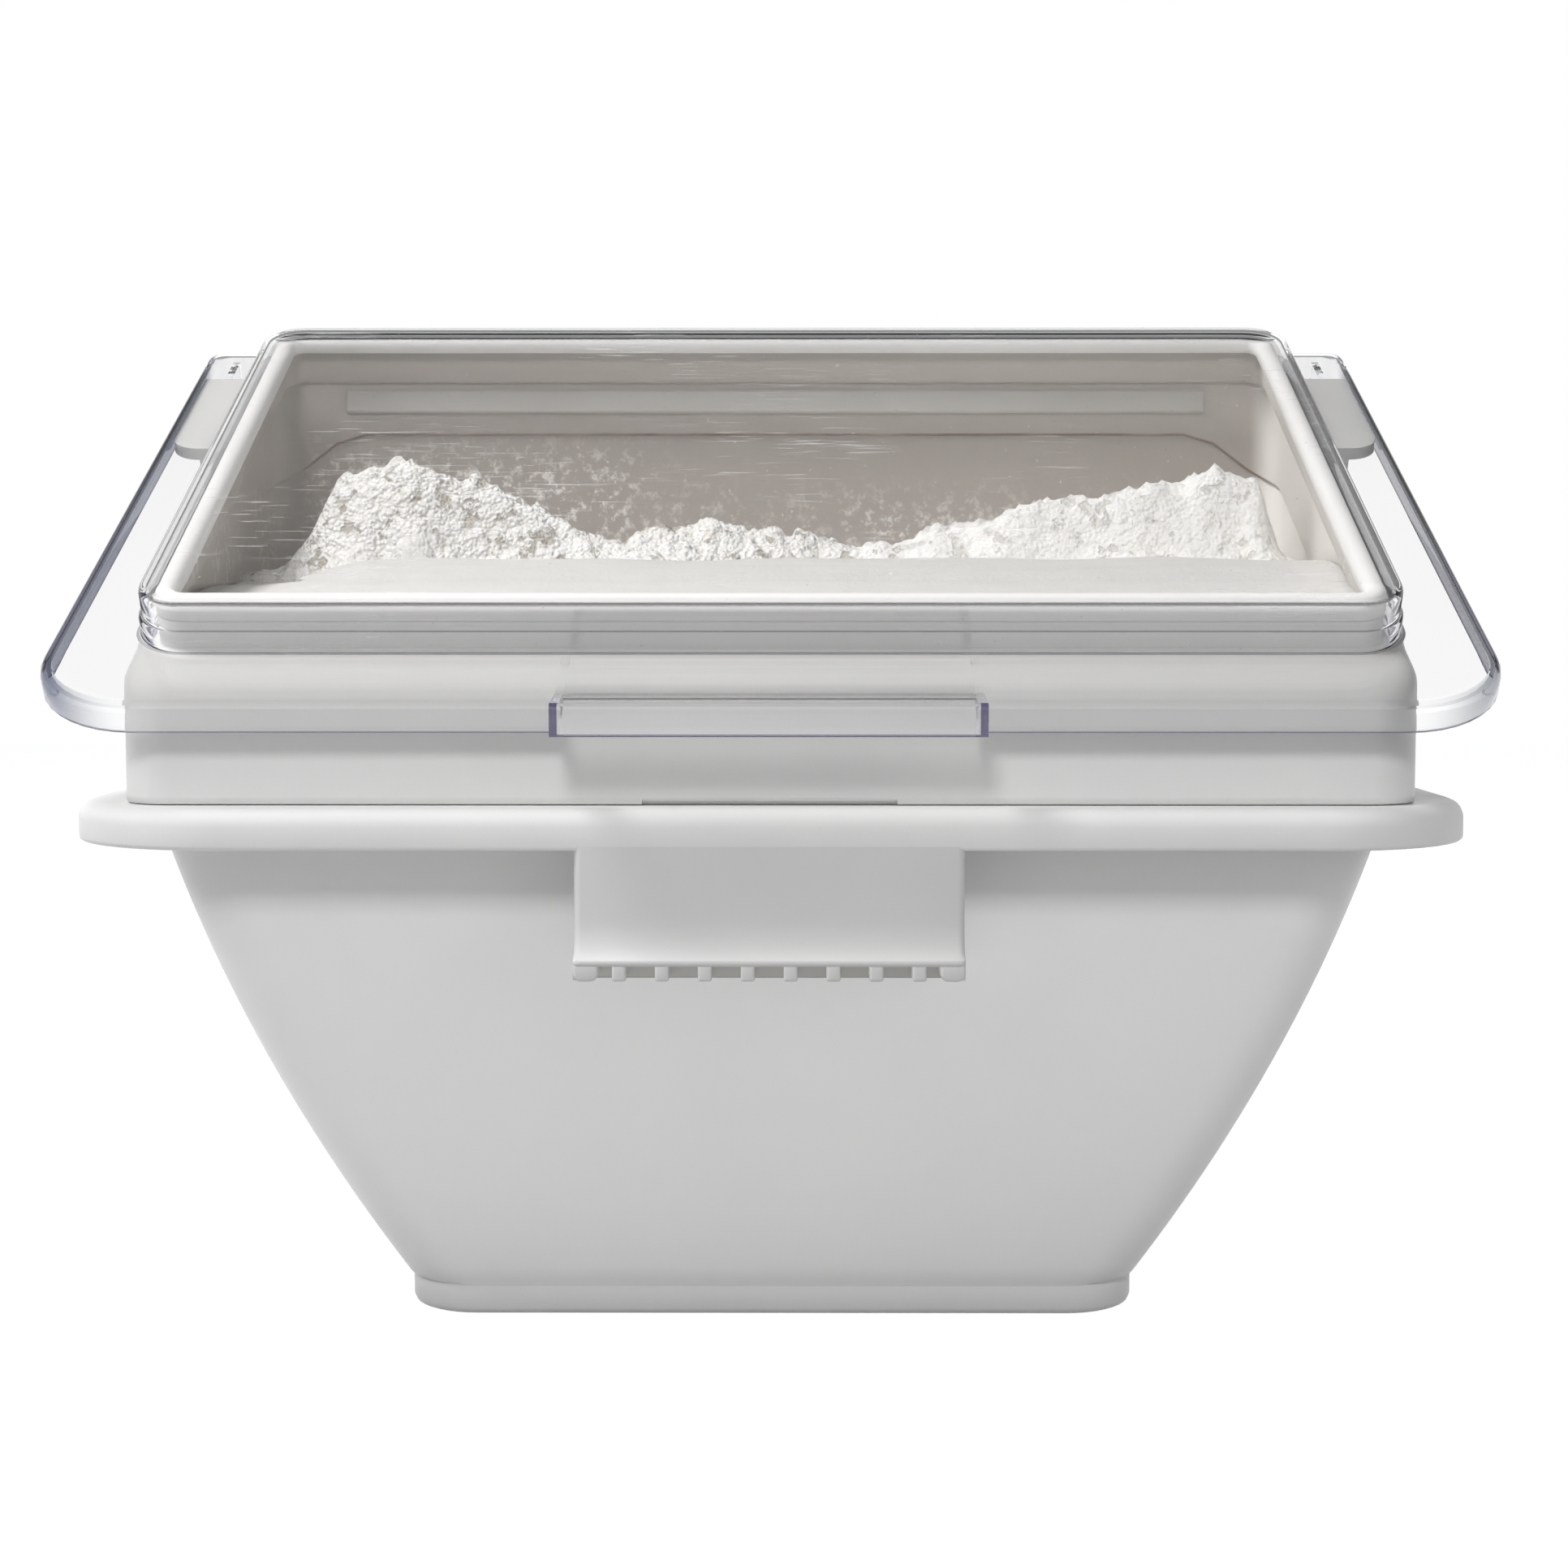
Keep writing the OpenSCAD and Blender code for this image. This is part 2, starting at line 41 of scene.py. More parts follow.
# Main sizes in millimetres, matched to the CAD source
SLOPE = math.radians(27)
SIN, COS, TAN = math.sin(SLOPE), math.cos(SLOPE), math.tan(SLOPE)
HOOD_W, HOOD_D, HOOD_R = 443, 252, 18
SHOULDER_Z, SHOULDER_R = 230.4, 8
RIM_W, RIM_D, RIM_R, RIM_TOP, RIM_BEND = 487, 284, 58, 190, 6
LID_W, LID_FRONT, LID_BACK, LID_T = 499, -19, HOOD_D / COS + 17, 2.6
LID_FRONT_R, LID_REAR_R, LIP_H, SKIRT_H = 38, 8, 8, 24
WINDOW_W, WINDOW_FRONT, WINDOW_REAR, WINDOW_R = 438, 18, 282, 18
FLANGE_LOW, FLANGE_TOP = 0.4, 3.0
WINDOW_TOP, WINDOW_UNDER = 21.5, 18.9
GRIP_HALF, GRIP_BACK, GRIP_FRONT, GRIP_RISE, GRIP_LIP = 71, 10.2, -33, 8.6, 10.7
NECK_W, NECK_FRONT, NECK_REAR, NECK_R = 425.4, 24.3, 275.7, 11.7
NECK_H, SEAL_TOP = 12, 18.6
HINGE_S, HINGE_N, CHEEK_R = LID_BACK - 18.6, -18.6, 7.5
WALL_LOW, RIM_UNDER = 11.3, 187

# Steps in a round corner of an outline, and how near a point counts as on a line
CORNER_STEPS = 10
TOUCH = 0.01
# Least corner radius of an inset loop, on large and on small corners
LEAST_R, SMALL_LEAST_R = 2, 1.5


# Mesh helpers
def make(name, verts, faces, body, materials, looks=None, sharp=40):
    """Smooth-shaded object on a body; looks gives the material of each face."""
    mesh = bpy.data.meshes.new(name)
    mesh.from_pydata([tuple(v * MM for v in p) for p in verts], [], faces)
    for m in materials:
        mesh.materials.append(m)
    if looks is not None:
        mesh.polygons.foreach_set("material_index", [materials.index(m) for m in looks])
    mesh.update()
    obj = bpy.data.objects.new(name, mesh)
    bpy.context.collection.objects.link(obj)
    mesh.set_sharp_from_angle(angle=math.radians(sharp))
    mesh.polygons.foreach_set("use_smooth", [True] * len(mesh.polygons))
    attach(obj, body)
    return obj


def outline(w, front, rear, rf, rr, xs=(), sides=6, rears=6):
    """Points of a round-cornered outline, anticlockwise from the front left corner's end."""
    pts = [(x, front) for x in xs]

    def corner(cx, cy, r, first):
        for i in range(CORNER_STEPS + 1):
            a = math.radians(first + 90 * i / CORNER_STEPS)
            pts.append((cx + r * math.cos(a), cy + r * math.sin(a)))

    run = rear - rr - front - rf
    corner(w / 2 - rf, front + rf, rf, -90)
    pts.extend((w / 2, front + rf + run * (i + 1) / (sides + 1)) for i in range(sides))
    corner(w / 2 - rr, rear - rr, rr, 0)
    pts.extend(((w / 2 - rr) * (1 - 2 * (i + 1) / (rears + 1)), rear) for i in range(rears))
    corner(-w / 2 + rr, rear - rr, rr, 90)
    pts.extend((-w / 2, rear - rr - run * (i + 1) / (sides + 1)) for i in range(sides))
    corner(-w / 2 + rf, front + rf, rf, 180)
    return pts


def loft(loops, closed=False, caps=(False, False)):
    """Faces between loops with the same number of points, and the row and column of each face."""
    n = len(loops[0])
    verts = [p for loop in loops for p in loop]
    faces, cells = [], []
    last = len(loops) if closed else len(loops) - 1
    for k in range(last):
        a, b = k * n, ((k + 1) % len(loops)) * n
        for i in range(n):
            j = (i + 1) % n
            faces.append((a + i, a + j, b + j, b + i))
            cells.append((k, i))
    if caps[0]:
        faces.append(tuple(range(n - 1, -1, -1)))
        cells.append((0, -1))
    if caps[1]:
        faces.append(tuple((len(loops) - 1) * n + i for i in range(n)))
        cells.append((last - 1, -1))
    return verts, faces, cells


def capped(loops):
    """Points and faces of loops closed at both ends."""
    return loft(loops, caps=(True, True))[:2]


def joined(parts):
    """One list of points and faces from several."""
    verts, faces = [], []
    for v, f in parts:
        base = len(verts)
        verts += v
        faces += [tuple(i + base for i in face) for face in f]
    return verts, faces


def on_slope(x, s, n):
    """Point in the mouth's slanted frame: s runs up the slope, n stands on it."""
    return (x, -HOOD_D / 2 + s * COS - n * SIN, SHOULDER_Z + s * SIN + n * COS)


def smooth(t):
    t = min(max(t, 0.0), 1.0)
    return t * t * (3 - 2 * t)


def quarter(steps):
    """Sine and cosine at each step of a quarter turn, without its start."""
    turns = [math.radians(90 * (i + 1) / steps) for i in range(steps)]
    return [(math.sin(turn), math.cos(turn)) for turn in turns]


# Material helpers
NOISE_LOW, NOISE_HIGH = 0.3, 0.7


def principled(name):
    m = bpy.data.materials.new(name)
    m.use_nodes = True
    return m, m.node_tree, m.node_tree.nodes["Principled BSDF"]


def noise_node(nt, scale, detail=4.0, rough=0.55, stretch=(1, 1, 1)):
    geo = nt.nodes.new("ShaderNodeTexCoord")
    mapping = nt.nodes.new("ShaderNodeMapping")
    mapping.inputs["Scale"].default_value = stretch
    tex = nt.nodes.new("ShaderNodeTexNoise")
    tex.inputs["Scale"].default_value = scale
    tex.inputs["Detail"].default_value = detail
    tex.inputs["Roughness"].default_value = rough
    nt.links.new(geo.outputs["Object"], mapping.inputs["Vector"])
    nt.links.new(mapping.outputs["Vector"], tex.inputs["Vector"])
    return tex.outputs["Fac"]


def place(nt, kind="Object"):
    """Sockets for x, y and z of the shaded point."""
    geo = nt.nodes.new("ShaderNodeTexCoord")
    split = nt.nodes.new("ShaderNodeSeparateXYZ")
    nt.links.new(geo.outputs[kind], split.inputs["Vector"])
    return split.outputs


def ranged(nt, value, lo, hi):
    """Share of the way from lo to hi, eased."""
    node = nt.nodes.new("ShaderNodeMapRange")
    node.interpolation_type = "SMOOTHSTEP"
    node.inputs["From Min"].default_value = lo
    node.inputs["From Max"].default_value = hi
    nt.links.new(value, node.inputs["Value"])
    return node.outputs["Result"]


def maths(nt, operation, a, b):
    node = nt.nodes.new("ShaderNodeMath")
    node.operation = operation
    for value, socket in zip((a, b), node.inputs):
        if hasattr(value, "is_linked"):
            nt.links.new(value, socket)
        else:
            socket.default_value = value
    return node.outputs[0]


def product(nt, a, b):
    return maths(nt, "MULTIPLY", a, b)


def largest(nt, a, b):
    return maths(nt, "MAXIMUM", a, b)


def rest_of(nt, share):
    return maths(nt, "SUBTRACT", 1.0, share)


def ramp(nt, fac, stops):
    node = nt.nodes.new("ShaderNodeValToRGB")
    while len(node.color_ramp.elements) < len(stops):
        node.color_ramp.elements.new(0.5)
    for e, (pos, col) in zip(node.color_ramp.elements, stops):
        e.position = pos
        e.color = (*col, 1)
    nt.links.new(fac, node.inputs["Fac"])
    return node.outputs["Color"]


def grey(nt, fac, stops):
    return ramp(nt, fac, [(pos, (v, v, v)) for pos, v in stops])


def above(nt, fac, lo, hi, full=1):
    """Nil where a pattern is below lo, full where it is above hi."""
    return grey(nt, fac, [(lo, 0), (hi, full)])


def mottled(nt, fac, dark, light):
    """Two near colours that follow a noise pattern."""
    return ramp(nt, fac, [(NOISE_LOW, dark), (NOISE_HIGH, light)])


def bump(nt, bsdf, height, strength, distance):
    node = nt.nodes.new("ShaderNodeBump")
    node.inputs["Strength"].default_value = strength
    node.inputs["Distance"].default_value = distance
    nt.links.new(height, node.inputs["Height"])
    nt.links.new(node.outputs["Normal"], bsdf.inputs["Normal"])


def mix_colour(nt, fac, a, b):
    node = nt.nodes.new("ShaderNodeMix")
    node.data_type = "RGBA"
    nt.links.new(fac, node.inputs["Factor"])
    for value, socket in ((a, node.inputs["A"]), (b, node.inputs["B"])):
        if hasattr(value, "is_linked"):
            nt.links.new(value, socket)
        else:
            socket.default_value = (*value, 1)
    return node.outputs["Result"]


# White plastic; each pair, in metres, runs from where the shade behind the handle starts to where it is full
SLOT_X, SLOT_Y, SLOT_Z = (0.0665, 0.0605), (-0.095, -0.105), (0.1283, 0.131)
GRAIN, GRAIN_DEPTH, PLASTIC_IOR = 0.06, 0.0004, 1.49


def white_plastic(name, light, dark, rough, shade=None):
    """Satin plastic; shade gives the colour of the wall in the dark behind the handle's slots."""
    m, nt, b = principled(name)
    colour = mottled(nt, noise_node(nt, scale=14, detail=3), dark, light)
    if shade:
        x, y, z = place(nt)
        across = ranged(nt, maths(nt, "ABSOLUTE", x, 0.0), *SLOT_X)
        behind = product(nt, across, ranged(nt, y, *SLOT_Y))
        behind = product(nt, behind, ranged(nt, z, *SLOT_Z))
        colour = mix_colour(nt, behind, colour, shade)
    nt.links.new(colour, b.inputs["Base Color"])
    uneven = [(NOISE_LOW, rough - 0.05), (NOISE_HIGH, rough + 0.06)]
    nt.links.new(grey(nt, noise_node(nt, scale=40, detail=4), uneven), b.inputs["Roughness"])
    b.inputs["IOR"].default_value = PLASTIC_IOR
    bump(nt, b, noise_node(nt, scale=900, detail=2), GRAIN, GRAIN_DEPTH)
    return m


# Clear plastic; the places of the side tint, a painted dark reflection on the side lips, are in metres
TINT_Y, TINT_X = (0.135, 0.118), (0.214, 0.246)
SHEET_IOR, WEAR_SHARE, DULL_SHARE = 1.45, 0.25, 0.985


def wear(nt):
    """Fine streaks in patches, and specks."""
    streak = above(nt, noise_node(nt, scale=40, detail=2, rough=0.5, stretch=(1, 14, 14)), 0.64, 0.68)
    patch = above(nt, noise_node(nt, scale=11, detail=2), 0.5, 0.62)
    speck = above(nt, noise_node(nt, scale=420, detail=2, rough=0.5), 0.74, 0.78)
    return largest(nt, product(nt, streak, patch), speck)


def clear_plastic(name, tint, rough, passes, ior=SHEET_IOR, side_reflection_tint=None, worn=False):
    """Clear sheet; passes is the share of the lamps' light that it lets through to what lies under it."""
    m, nt, b = principled(name)
    b.inputs["Transmission Weight"].default_value = 1.0
    b.inputs["IOR"].default_value = ior
    dull = tuple(c * DULL_SHARE for c in tint)
    colour = mottled(nt, noise_node(nt, scale=9, detail=2), dull, tint)
    # Painted dark reflection on the side lips, darker on the left than on the right
    if side_reflection_tint:
        x, y, z = place(nt)
        ahead = ranged(nt, y, *TINT_Y)
        paler = tuple(0.5 * t + 0.25 for t in side_reflection_tint)
        for side, there in ((-1, side_reflection_tint), (1, paler)):
            outward = ranged(nt, x, side * TINT_X[0], side * TINT_X[1])
            colour = mix_colour(nt, product(nt, ahead, outward), colour, there)
    nt.links.new(colour, b.inputs["Base Color"])
    uneven = [(0.55, rough), (0.8, rough + 0.04)]
    nt.links.new(grey(nt, noise_node(nt, scale=30, detail=5), uneven), b.inputs["Roughness"])
    bump(nt, b, noise_node(nt, scale=18, detail=2), strength=0.02, distance=0.002)
    if worn:
        clean = rest_of(nt, product(nt, wear(nt), WEAR_SHARE))
        nt.links.new(clean, b.inputs["Transmission Weight"])
    path = nt.nodes.new("ShaderNodeLightPath")
    through = nt.nodes.new("ShaderNodeBsdfTransparent")
    through.inputs["Color"].default_value = (passes, passes * 0.995, passes * 0.99, 1)
    both = nt.nodes.new("ShaderNodeMixShader")
    nt.links.new(path.outputs["Is Shadow Ray"], both.inputs["Fac"])
    nt.links.new(b.outputs["BSDF"], both.inputs[1])
    nt.links.new(through.outputs["BSDF"], both.inputs[2])
    nt.links.new(both.outputs["Shader"], nt.nodes["Material Output"].inputs["Surface"])
    return m


# The same white plastic in copies: the tub's wall is painted lighter as painted light, with painted shade
# behind the handle's slots, and the grip is painted darker as painted shade
WHITE = white_plastic("white_plastic", (0.765, 0.765, 0.755), (0.735, 0.735, 0.73), rough=0.36)
LIT_TUB_WHITE = white_plastic("white_plastic_tub_painted_light", (0.91, 0.91, 0.90), (0.885, 0.885, 0.88), rough=0.38,
                          shade=(0.50, 0.50, 0.48))
SHADED_GRIP_WHITE = white_plastic("white_plastic_grip_painted_shade", (0.635, 0.635, 0.625), (0.61, 0.61, 0.605), rough=0.36)
# The rail behind the grip ribs is the white plastic painted dark grey, as painted shade
SHADED_POCKET = white_plastic("white_plastic_pocket_painted_shade", (0.40, 0.395, 0.375), (0.36, 0.355, 0.335), rough=0.5)
SEAL = white_plastic("white_seal", (0.96, 0.955, 0.945), (0.93, 0.925, 0.915), rough=0.42)
CLEAR = clear_plastic("clear_plastic", (0.985, 0.985, 0.99), rough=0.015, passes=0.97, worn=True)
BORDER = clear_plastic("clear_border", (0.995, 0.995, 0.997), rough=0.02, passes=0.76, ior=1.22)
UNDER = clear_plastic("clear_under", (0.995, 0.995, 0.997), rough=0.02, passes=0.94, ior=1.22)
# The lip's sides carry the painted dark reflection
LIP = clear_plastic("clear_lip", (0.96, 0.965, 0.97), rough=0.02, passes=0.25, ior=1.3,
                    side_reflection_tint=(0.20, 0.22, 0.29))
EDGE = clear_plastic("clear_edge", (0.17, 0.14, 0.27), rough=0.05, passes=0.35)
WEB = clear_plastic("clear_web", (0.06, 0.05, 0.15), rough=0.05, passes=0.35)
# Grey for the thin step lines of the clear lid: painted dark lines where its steps bend the light
LINE = clear_plastic("clear_line", (0.40, 0.40, 0.43), rough=0.03, passes=0.8)
PULL = clear_plastic("clear_pull", (0.95, 0.95, 0.97), rough=0.02, passes=0.42)

# Colours and places, in metres, inside the hood; its white plastic is coloured grey-brown as painted shade,
# lighter high up and on the side walls as painted light
SHADE_DARK, SHADE_LIGHT = (0.36, 0.325, 0.29), (0.41, 0.37, 0.335)
UPPER_LIT_COLOUR, DUST_AND_LIT_COLOUR = (0.55, 0.51, 0.465), (0.90, 0.875, 0.835)
UPPER_Z, LEFT_WALL_X, RIGHT_WALL_X = (0.325, 0.345), (-0.205, -0.216), (0.205, 0.215)
DUST_Z = (0.272, 0.318)
HALO_X, HALO_Z, HALO_LEFT_X, HALO_SHARE = (-0.03, -0.08), (0.336, 0.305), (-0.21, -0.19), 0.85


def inside_plastic():
    """Hood's inside: grey-brown as painted shade, lighter high up and on the left wall and pale all over the
    right wall as painted light, with flour dust low down.
    """
    m, nt, b = principled("inside_plastic")
    clouds = noise_node(nt, scale=5, detail=3, rough=0.5, stretch=(1, 1, 2.5))
    # Painted shade: the white plastic inside is coloured grey-brown
    base = ramp(nt, clouds, [(0.35, SHADE_DARK), (0.65, SHADE_LIGHT)])
    x, y, z = place(nt)
    # Painted light: the upper band and the left wall take a lighter colour
    upper = largest(nt, ranged(nt, z, *UPPER_Z), ranged(nt, x, *LEFT_WALL_X))
    base = mix_colour(nt, upper, base, UPPER_LIT_COLOUR)
    low = rest_of(nt, ranged(nt, z, *DUST_Z))
    speck = above(nt, noise_node(nt, scale=210, detail=6, rough=0.75), 0.52, 0.62)
    patch = above(nt, noise_node(nt, scale=22, detail=4, rough=0.6), 0.43, 0.55)
    fleck = above(nt, noise_node(nt, scale=320, detail=3, rough=0.6), 0.7, 0.74, full=0.6)
    dust = product(nt, product(nt, speck, patch), low)
    # Painted light: the right wall takes the pale colour all over
    total = largest(nt, largest(nt, dust, fleck), ranged(nt, x, *RIGHT_WALL_X))
    halo = product(nt, ranged(nt, x, *HALO_X), ranged(nt, z, *HALO_Z))
    halo = product(nt, halo, ranged(nt, x, *HALO_LEFT_X))
    total = largest(nt, total, product(nt, halo, product(nt, speck, HALO_SHARE)))
    nt.links.new(mix_colour(nt, total, base, DUST_AND_LIT_COLOUR), b.inputs["Base Color"])
    b.inputs["Roughness"].default_value = 0.5
    bump(nt, b, noise_node(nt, scale=500, detail=3), strength=0.08, distance=GRAIN_DEPTH)
    return m


def seam_brown_line():
    """Dark brown line along the collar's lower edge."""
    m, nt, b = principled("seam_brown_line")
    browns = [(0.4, (0.22, 0.15, 0.095)), (0.66, (0.42, 0.36, 0.31))]
    nt.links.new(ramp(nt, noise_node(nt, scale=30, detail=5), browns), b.inputs["Base Color"])
    b.inputs["Roughness"].default_value = 0.7
    return m


def crumb_node(nt, scale):
    """Distance from the middle of the nearest crumb, as a share of the crumb's size."""
    geo = nt.nodes.new("ShaderNodeTexCoord")
    tex = nt.nodes.new("ShaderNodeTexVoronoi")
    tex.inputs["Scale"].default_value = scale
    nt.links.new(geo.outputs["Object"], tex.inputs["Vector"])
    return tex.outputs["Distance"]


# Colours and places, in metres, of the flour; the band's grey and the dark pits and holes are painted shade
SHADED_BAND_DARK, SHADED_BAND_LIGHT = (0.72, 0.71, 0.69), (0.76, 0.752, 0.735)
RIDGE_DARK, RIDGE_LIGHT = (0.955, 0.945, 0.915), (0.985, 0.98, 0.965)
PIT_SHADE_COLOUR, HOLE_SHADE_COLOUR = (0.82, 0.79, 0.715), (0.56, 0.52, 0.44)
RIDGE_Y, RIDGE_WANDER = (0.016, 0.024), 0.03
CALM_X, CALM_SHARE = (0.01, 0.06), 0.6


def flour_material():
    """Smooth band in front, grey-white as painted shade, and a whiter ridge with pits and holes darkened as
    painted shade, calmer on its right.
    """
    m, nt, b = principled("flour")
    fine = noise_node(nt, scale=60, detail=8, rough=0.65)
    swing = maths(nt, "SUBTRACT", noise_node(nt, scale=28, detail=5, rough=0.6), 0.5)
    wander = product(nt, swing, RIDGE_WANDER)
    ridge = ranged(nt, maths(nt, "ADD", place(nt)[1], wander), *RIDGE_Y)
    # Painted shade: the front band is a greyer copy of the flour's white
    band = mottled(nt, fine, SHADED_BAND_DARK, SHADED_BAND_LIGHT)
    soft = mottled(nt, fine, RIDGE_DARK, RIDGE_LIGHT)
    soft = mix_colour(nt, ridge, band, soft)
    calm = product(nt, ranged(nt, place(nt)[0], *CALM_X), CALM_SHARE)
    ridge = product(nt, ridge, rest_of(nt, calm))
    large, small = crumb_node(nt, scale=230), crumb_node(nt, scale=560)
    patch = above(nt, noise_node(nt, scale=90, detail=4), 0.4, 0.65)
    pits = product(nt, above(nt, large, 0.5, 0.8), patch)
    pits = largest(nt, pits, above(nt, small, 0.62, 0.9, full=0.7))
    # Painted shade in the pits between crumbs
    colour = mix_colour(nt, product(nt, pits, ridge), soft, PIT_SHADE_COLOUR)
    holes = grey(nt, noise_node(nt, scale=130, detail=5, rough=0.65), [(0.37, 1), (0.42, 0)])
    # Painted shade in the holes
    colour = mix_colour(nt, product(nt, holes, ridge), colour, HOLE_SHADE_COLOUR)
    nt.links.new(colour, b.inputs["Base Color"])
    b.inputs["Roughness"].default_value = 0.95
    b.inputs["Specular IOR Level"].default_value = 0.1
    heights = maths(nt, "ADD", product(nt, large, -1.0), product(nt, small, -0.6))
    heights = maths(nt, "SUBTRACT", heights, product(nt, holes, 0.7))
    powder = product(nt, noise_node(nt, scale=420, detail=8, rough=0.7), 0.25)
    heights = maths(nt, "ADD", product(nt, heights, ridge), powder)
    bump(nt, b, heights, strength=0.75, distance=0.003)
    return m


INSIDE = inside_plastic()
# The ledge's colour is painted: grey for the shade inside, lighter than the wall where it catches the light
PAINTED_LEDGE = white_plastic("ledge_plastic_painted_light_and_shade", (0.60, 0.585, 0.56), (0.52, 0.50, 0.475), rough=0.5)
BROWN_LINE = seam_brown_line()
FLOUR = flour_material()

# Tub with its foot, curved walls and turned-down rim; a ring is width, depth, corner radius and height
EDGE_XS = [-80 + 20 * i for i in range(9)]
WALL_W, WALL_W_GROWS, WALL_W_BULGE = 269.2, 165.4, 7.9
WALL_D, WALL_D_GROWS, WALL_D_BULGE = 153, 74.4, 4
WALL_R, WALL_R_GROWS, WALL_R_LEAST = 26, 2.6, 4
WALL_T, WALL_START, WALL_TOP, WALL_ROWS = 3, WALL_LOW + 0.6, 184, 26
INSIDE_TOP, INSIDE_LOW, INSIDE_ROWS = 186.5, 14, 16
FOOT_RINGS = [
    (262.6, 147.6, 23.8, 0), (265.4, 150.4, 25.2, 0.6), (267, 152, 26, 2.4),
    (267, 152, 26, 9.4), (266.4, 151.4, 25.7, 10.3), (266.4, 151.4, 25.6, 11.0)]
UNDER_RIM_RINGS = [(433, 226, 28.4, 186.2), (436.4, 229.4, 29.6, RIM_UNDER)]
UPSTAND_RINGS = [
    (436.4, 245.4, 15, RIM_TOP), (436.4, 245.4, 15, 197.4), (435.2, 244.2, 14.4, 198),
    (431.6, 240.6, 12.6, 198), (430.4, 239.4, 12, 197.4), (430.4, 239.4, 12, RIM_TOP)]
# Inset and height along the rim's turned-down edge
RIM_EDGE = [
    (4.2, RIM_UNDER), (3, 186), (3, 177), (2.3, 176.1), (1.1, 176.1), (0.3, 176.6), (0, 177.6),
    (0, RIM_TOP - RIM_BEND)]


def wall_size(z, inset):
    """Width, depth and corner radius of the curved wall at a height."""
    t = (z - WALL_LOW) / (RIM_UNDER - WALL_LOW)
    w = WALL_W + WALL_W_GROWS * t + 8 * WALL_W_BULGE * t * (1 - t) - 2 * inset
    d = WALL_D + WALL_D_GROWS * t + 8 * WALL_D_BULGE * t * (1 - t) - 2 * inset
    return w, d, max(WALL_R + WALL_R_GROWS * t - inset, WALL_R_LEAST)


def flat_loop(w, d, r, z):
    return [(x, y, z) for x, y in outline(w, -d / 2, d / 2, r, r, EDGE_XS)]


def wall_loop(z, inset):
    return flat_loop(*wall_size(z, inset), z)


def rim_loop(inset, z):
    return flat_loop(RIM_W - 2 * inset, RIM_D - 2 * inset, RIM_R - inset, z)


tub_loops = [flat_loop(*ring) for ring in FOOT_RINGS]
wall_row = len(tub_loops) - 1
tub_loops += [wall_loop(z, 0) for z in np.linspace(WALL_START, WALL_TOP, WALL_ROWS)]
rim_row = len(tub_loops)
tub_loops += [flat_loop(*ring) for ring in UNDER_RIM_RINGS]
tub_loops += [rim_loop(*row) for row in RIM_EDGE]
for sine, cosine in quarter(6):
    tub_loops.append(rim_loop(RIM_BEND * (1 - cosine), RIM_TOP - RIM_BEND + RIM_BEND * sine))
tub_loops += [flat_loop(*ring) for ring in UPSTAND_RINGS]
inner_row = len(tub_loops) - 1
tub_loops += [wall_loop(z, WALL_T) for z in np.linspace(INSIDE_TOP, INSIDE_LOW, INSIDE_ROWS)]


# The tub's wall takes the lighter copy of the white plastic, as painted light
def tub_look(row):
    if row >= inner_row:
        return INSIDE
    return LIT_TUB_WHITE if wall_row <= row < rim_row else WHITE


v, f, cells = loft(tub_loops, caps=(True, True))
looks = [tub_look(row) for row, column in cells]
tub = make("tub_shell", v, f, "tub", [WHITE, INSIDE, LIT_TUB_WHITE], looks, sharp=50)
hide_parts("tub")


# Pull handle: flared face, end plates, grip ribs with solid ends, and the rail behind them, coloured dark
# grey as painted shade
BLOCK_STEPS, BLOCK_SOFT_SHARE, LEAST_ROUND = 5, 0.3, 0.05
HANDLE_GAP = 0.6


def block(xs, zs, ys, low_r, top_r, soft):
    """Round-edged block: an outline across x and z, carried along y."""
    (x0, x1), (z0, z1), (y0, y1) = xs, zs, ys
    corners = ((x1, z0, low_r, -90), (x1, z1, top_r, 0), (x0, z1, top_r, 90), (x0, z0, low_r, 180))

    def ring(inset, y):
        pts = []
        for cx, cz, r, first in corners:
            r = max(r, inset + LEAST_ROUND)
            for i in range(BLOCK_STEPS + 1):
                turn = math.radians(first + 90 * i / BLOCK_STEPS)
                px = cx + (-r if cx == x1 else r) + (r - inset) * math.cos(turn)
                pz = cz + (-r if cz == z1 else r) + (r - inset) * math.sin(turn)
                pts.append((px, y, pz))
        return pts

    part = soft * BLOCK_SOFT_SHARE
    rows = [(soft, y0), (part, y0 + part), (0, y0 + soft), (0, y1 - soft), (part, y1 - part), (soft, y1)]
    return capped([ring(*row) for row in rows])


def wall_y(z):
    """Depth at which the handle's ends stop short of the tub's wall."""
    return -wall_size(z, 0)[1] / 2 - HANDLE_GAP


FACE_Y, FACE_HALF, FACE_SOFT = -RIM_D / 2 - 0.1, 65, 2.5
FACE_LEVELS, FACE_INSETS = (177.6, 170, 162), (0, 0.15, 0.5, 1.1, 1.8, FACE_SOFT, 20, 40)
FLARE_Z, FLARE_H, FLARE_TURN, FLARE_STEPS = 153, 12.2, 86, 10
NOSE_Y, NOSE_Z, NOSE_ROUND = -149.4, 138.4, 0.9
HANDLE_TOP, RIB_LOW = 175.7, 133.4
# Distance behind the nose and height, from the flare's end to the underside
NOSE_ROWS = [(0.25, 140.5), (0, 140), (0.1, 139.2), (0.7, 138.6), (1.6, NOSE_Z)]
# Depth and height of the face's inner side, from the nose up
FACE_IN = [(-144.6, NOSE_Z), (-143.2, 141), (-140.6, 147), (-138.5, FLARE_Z), (-138.4, 165),
           (-138.4, HANDLE_TOP)]
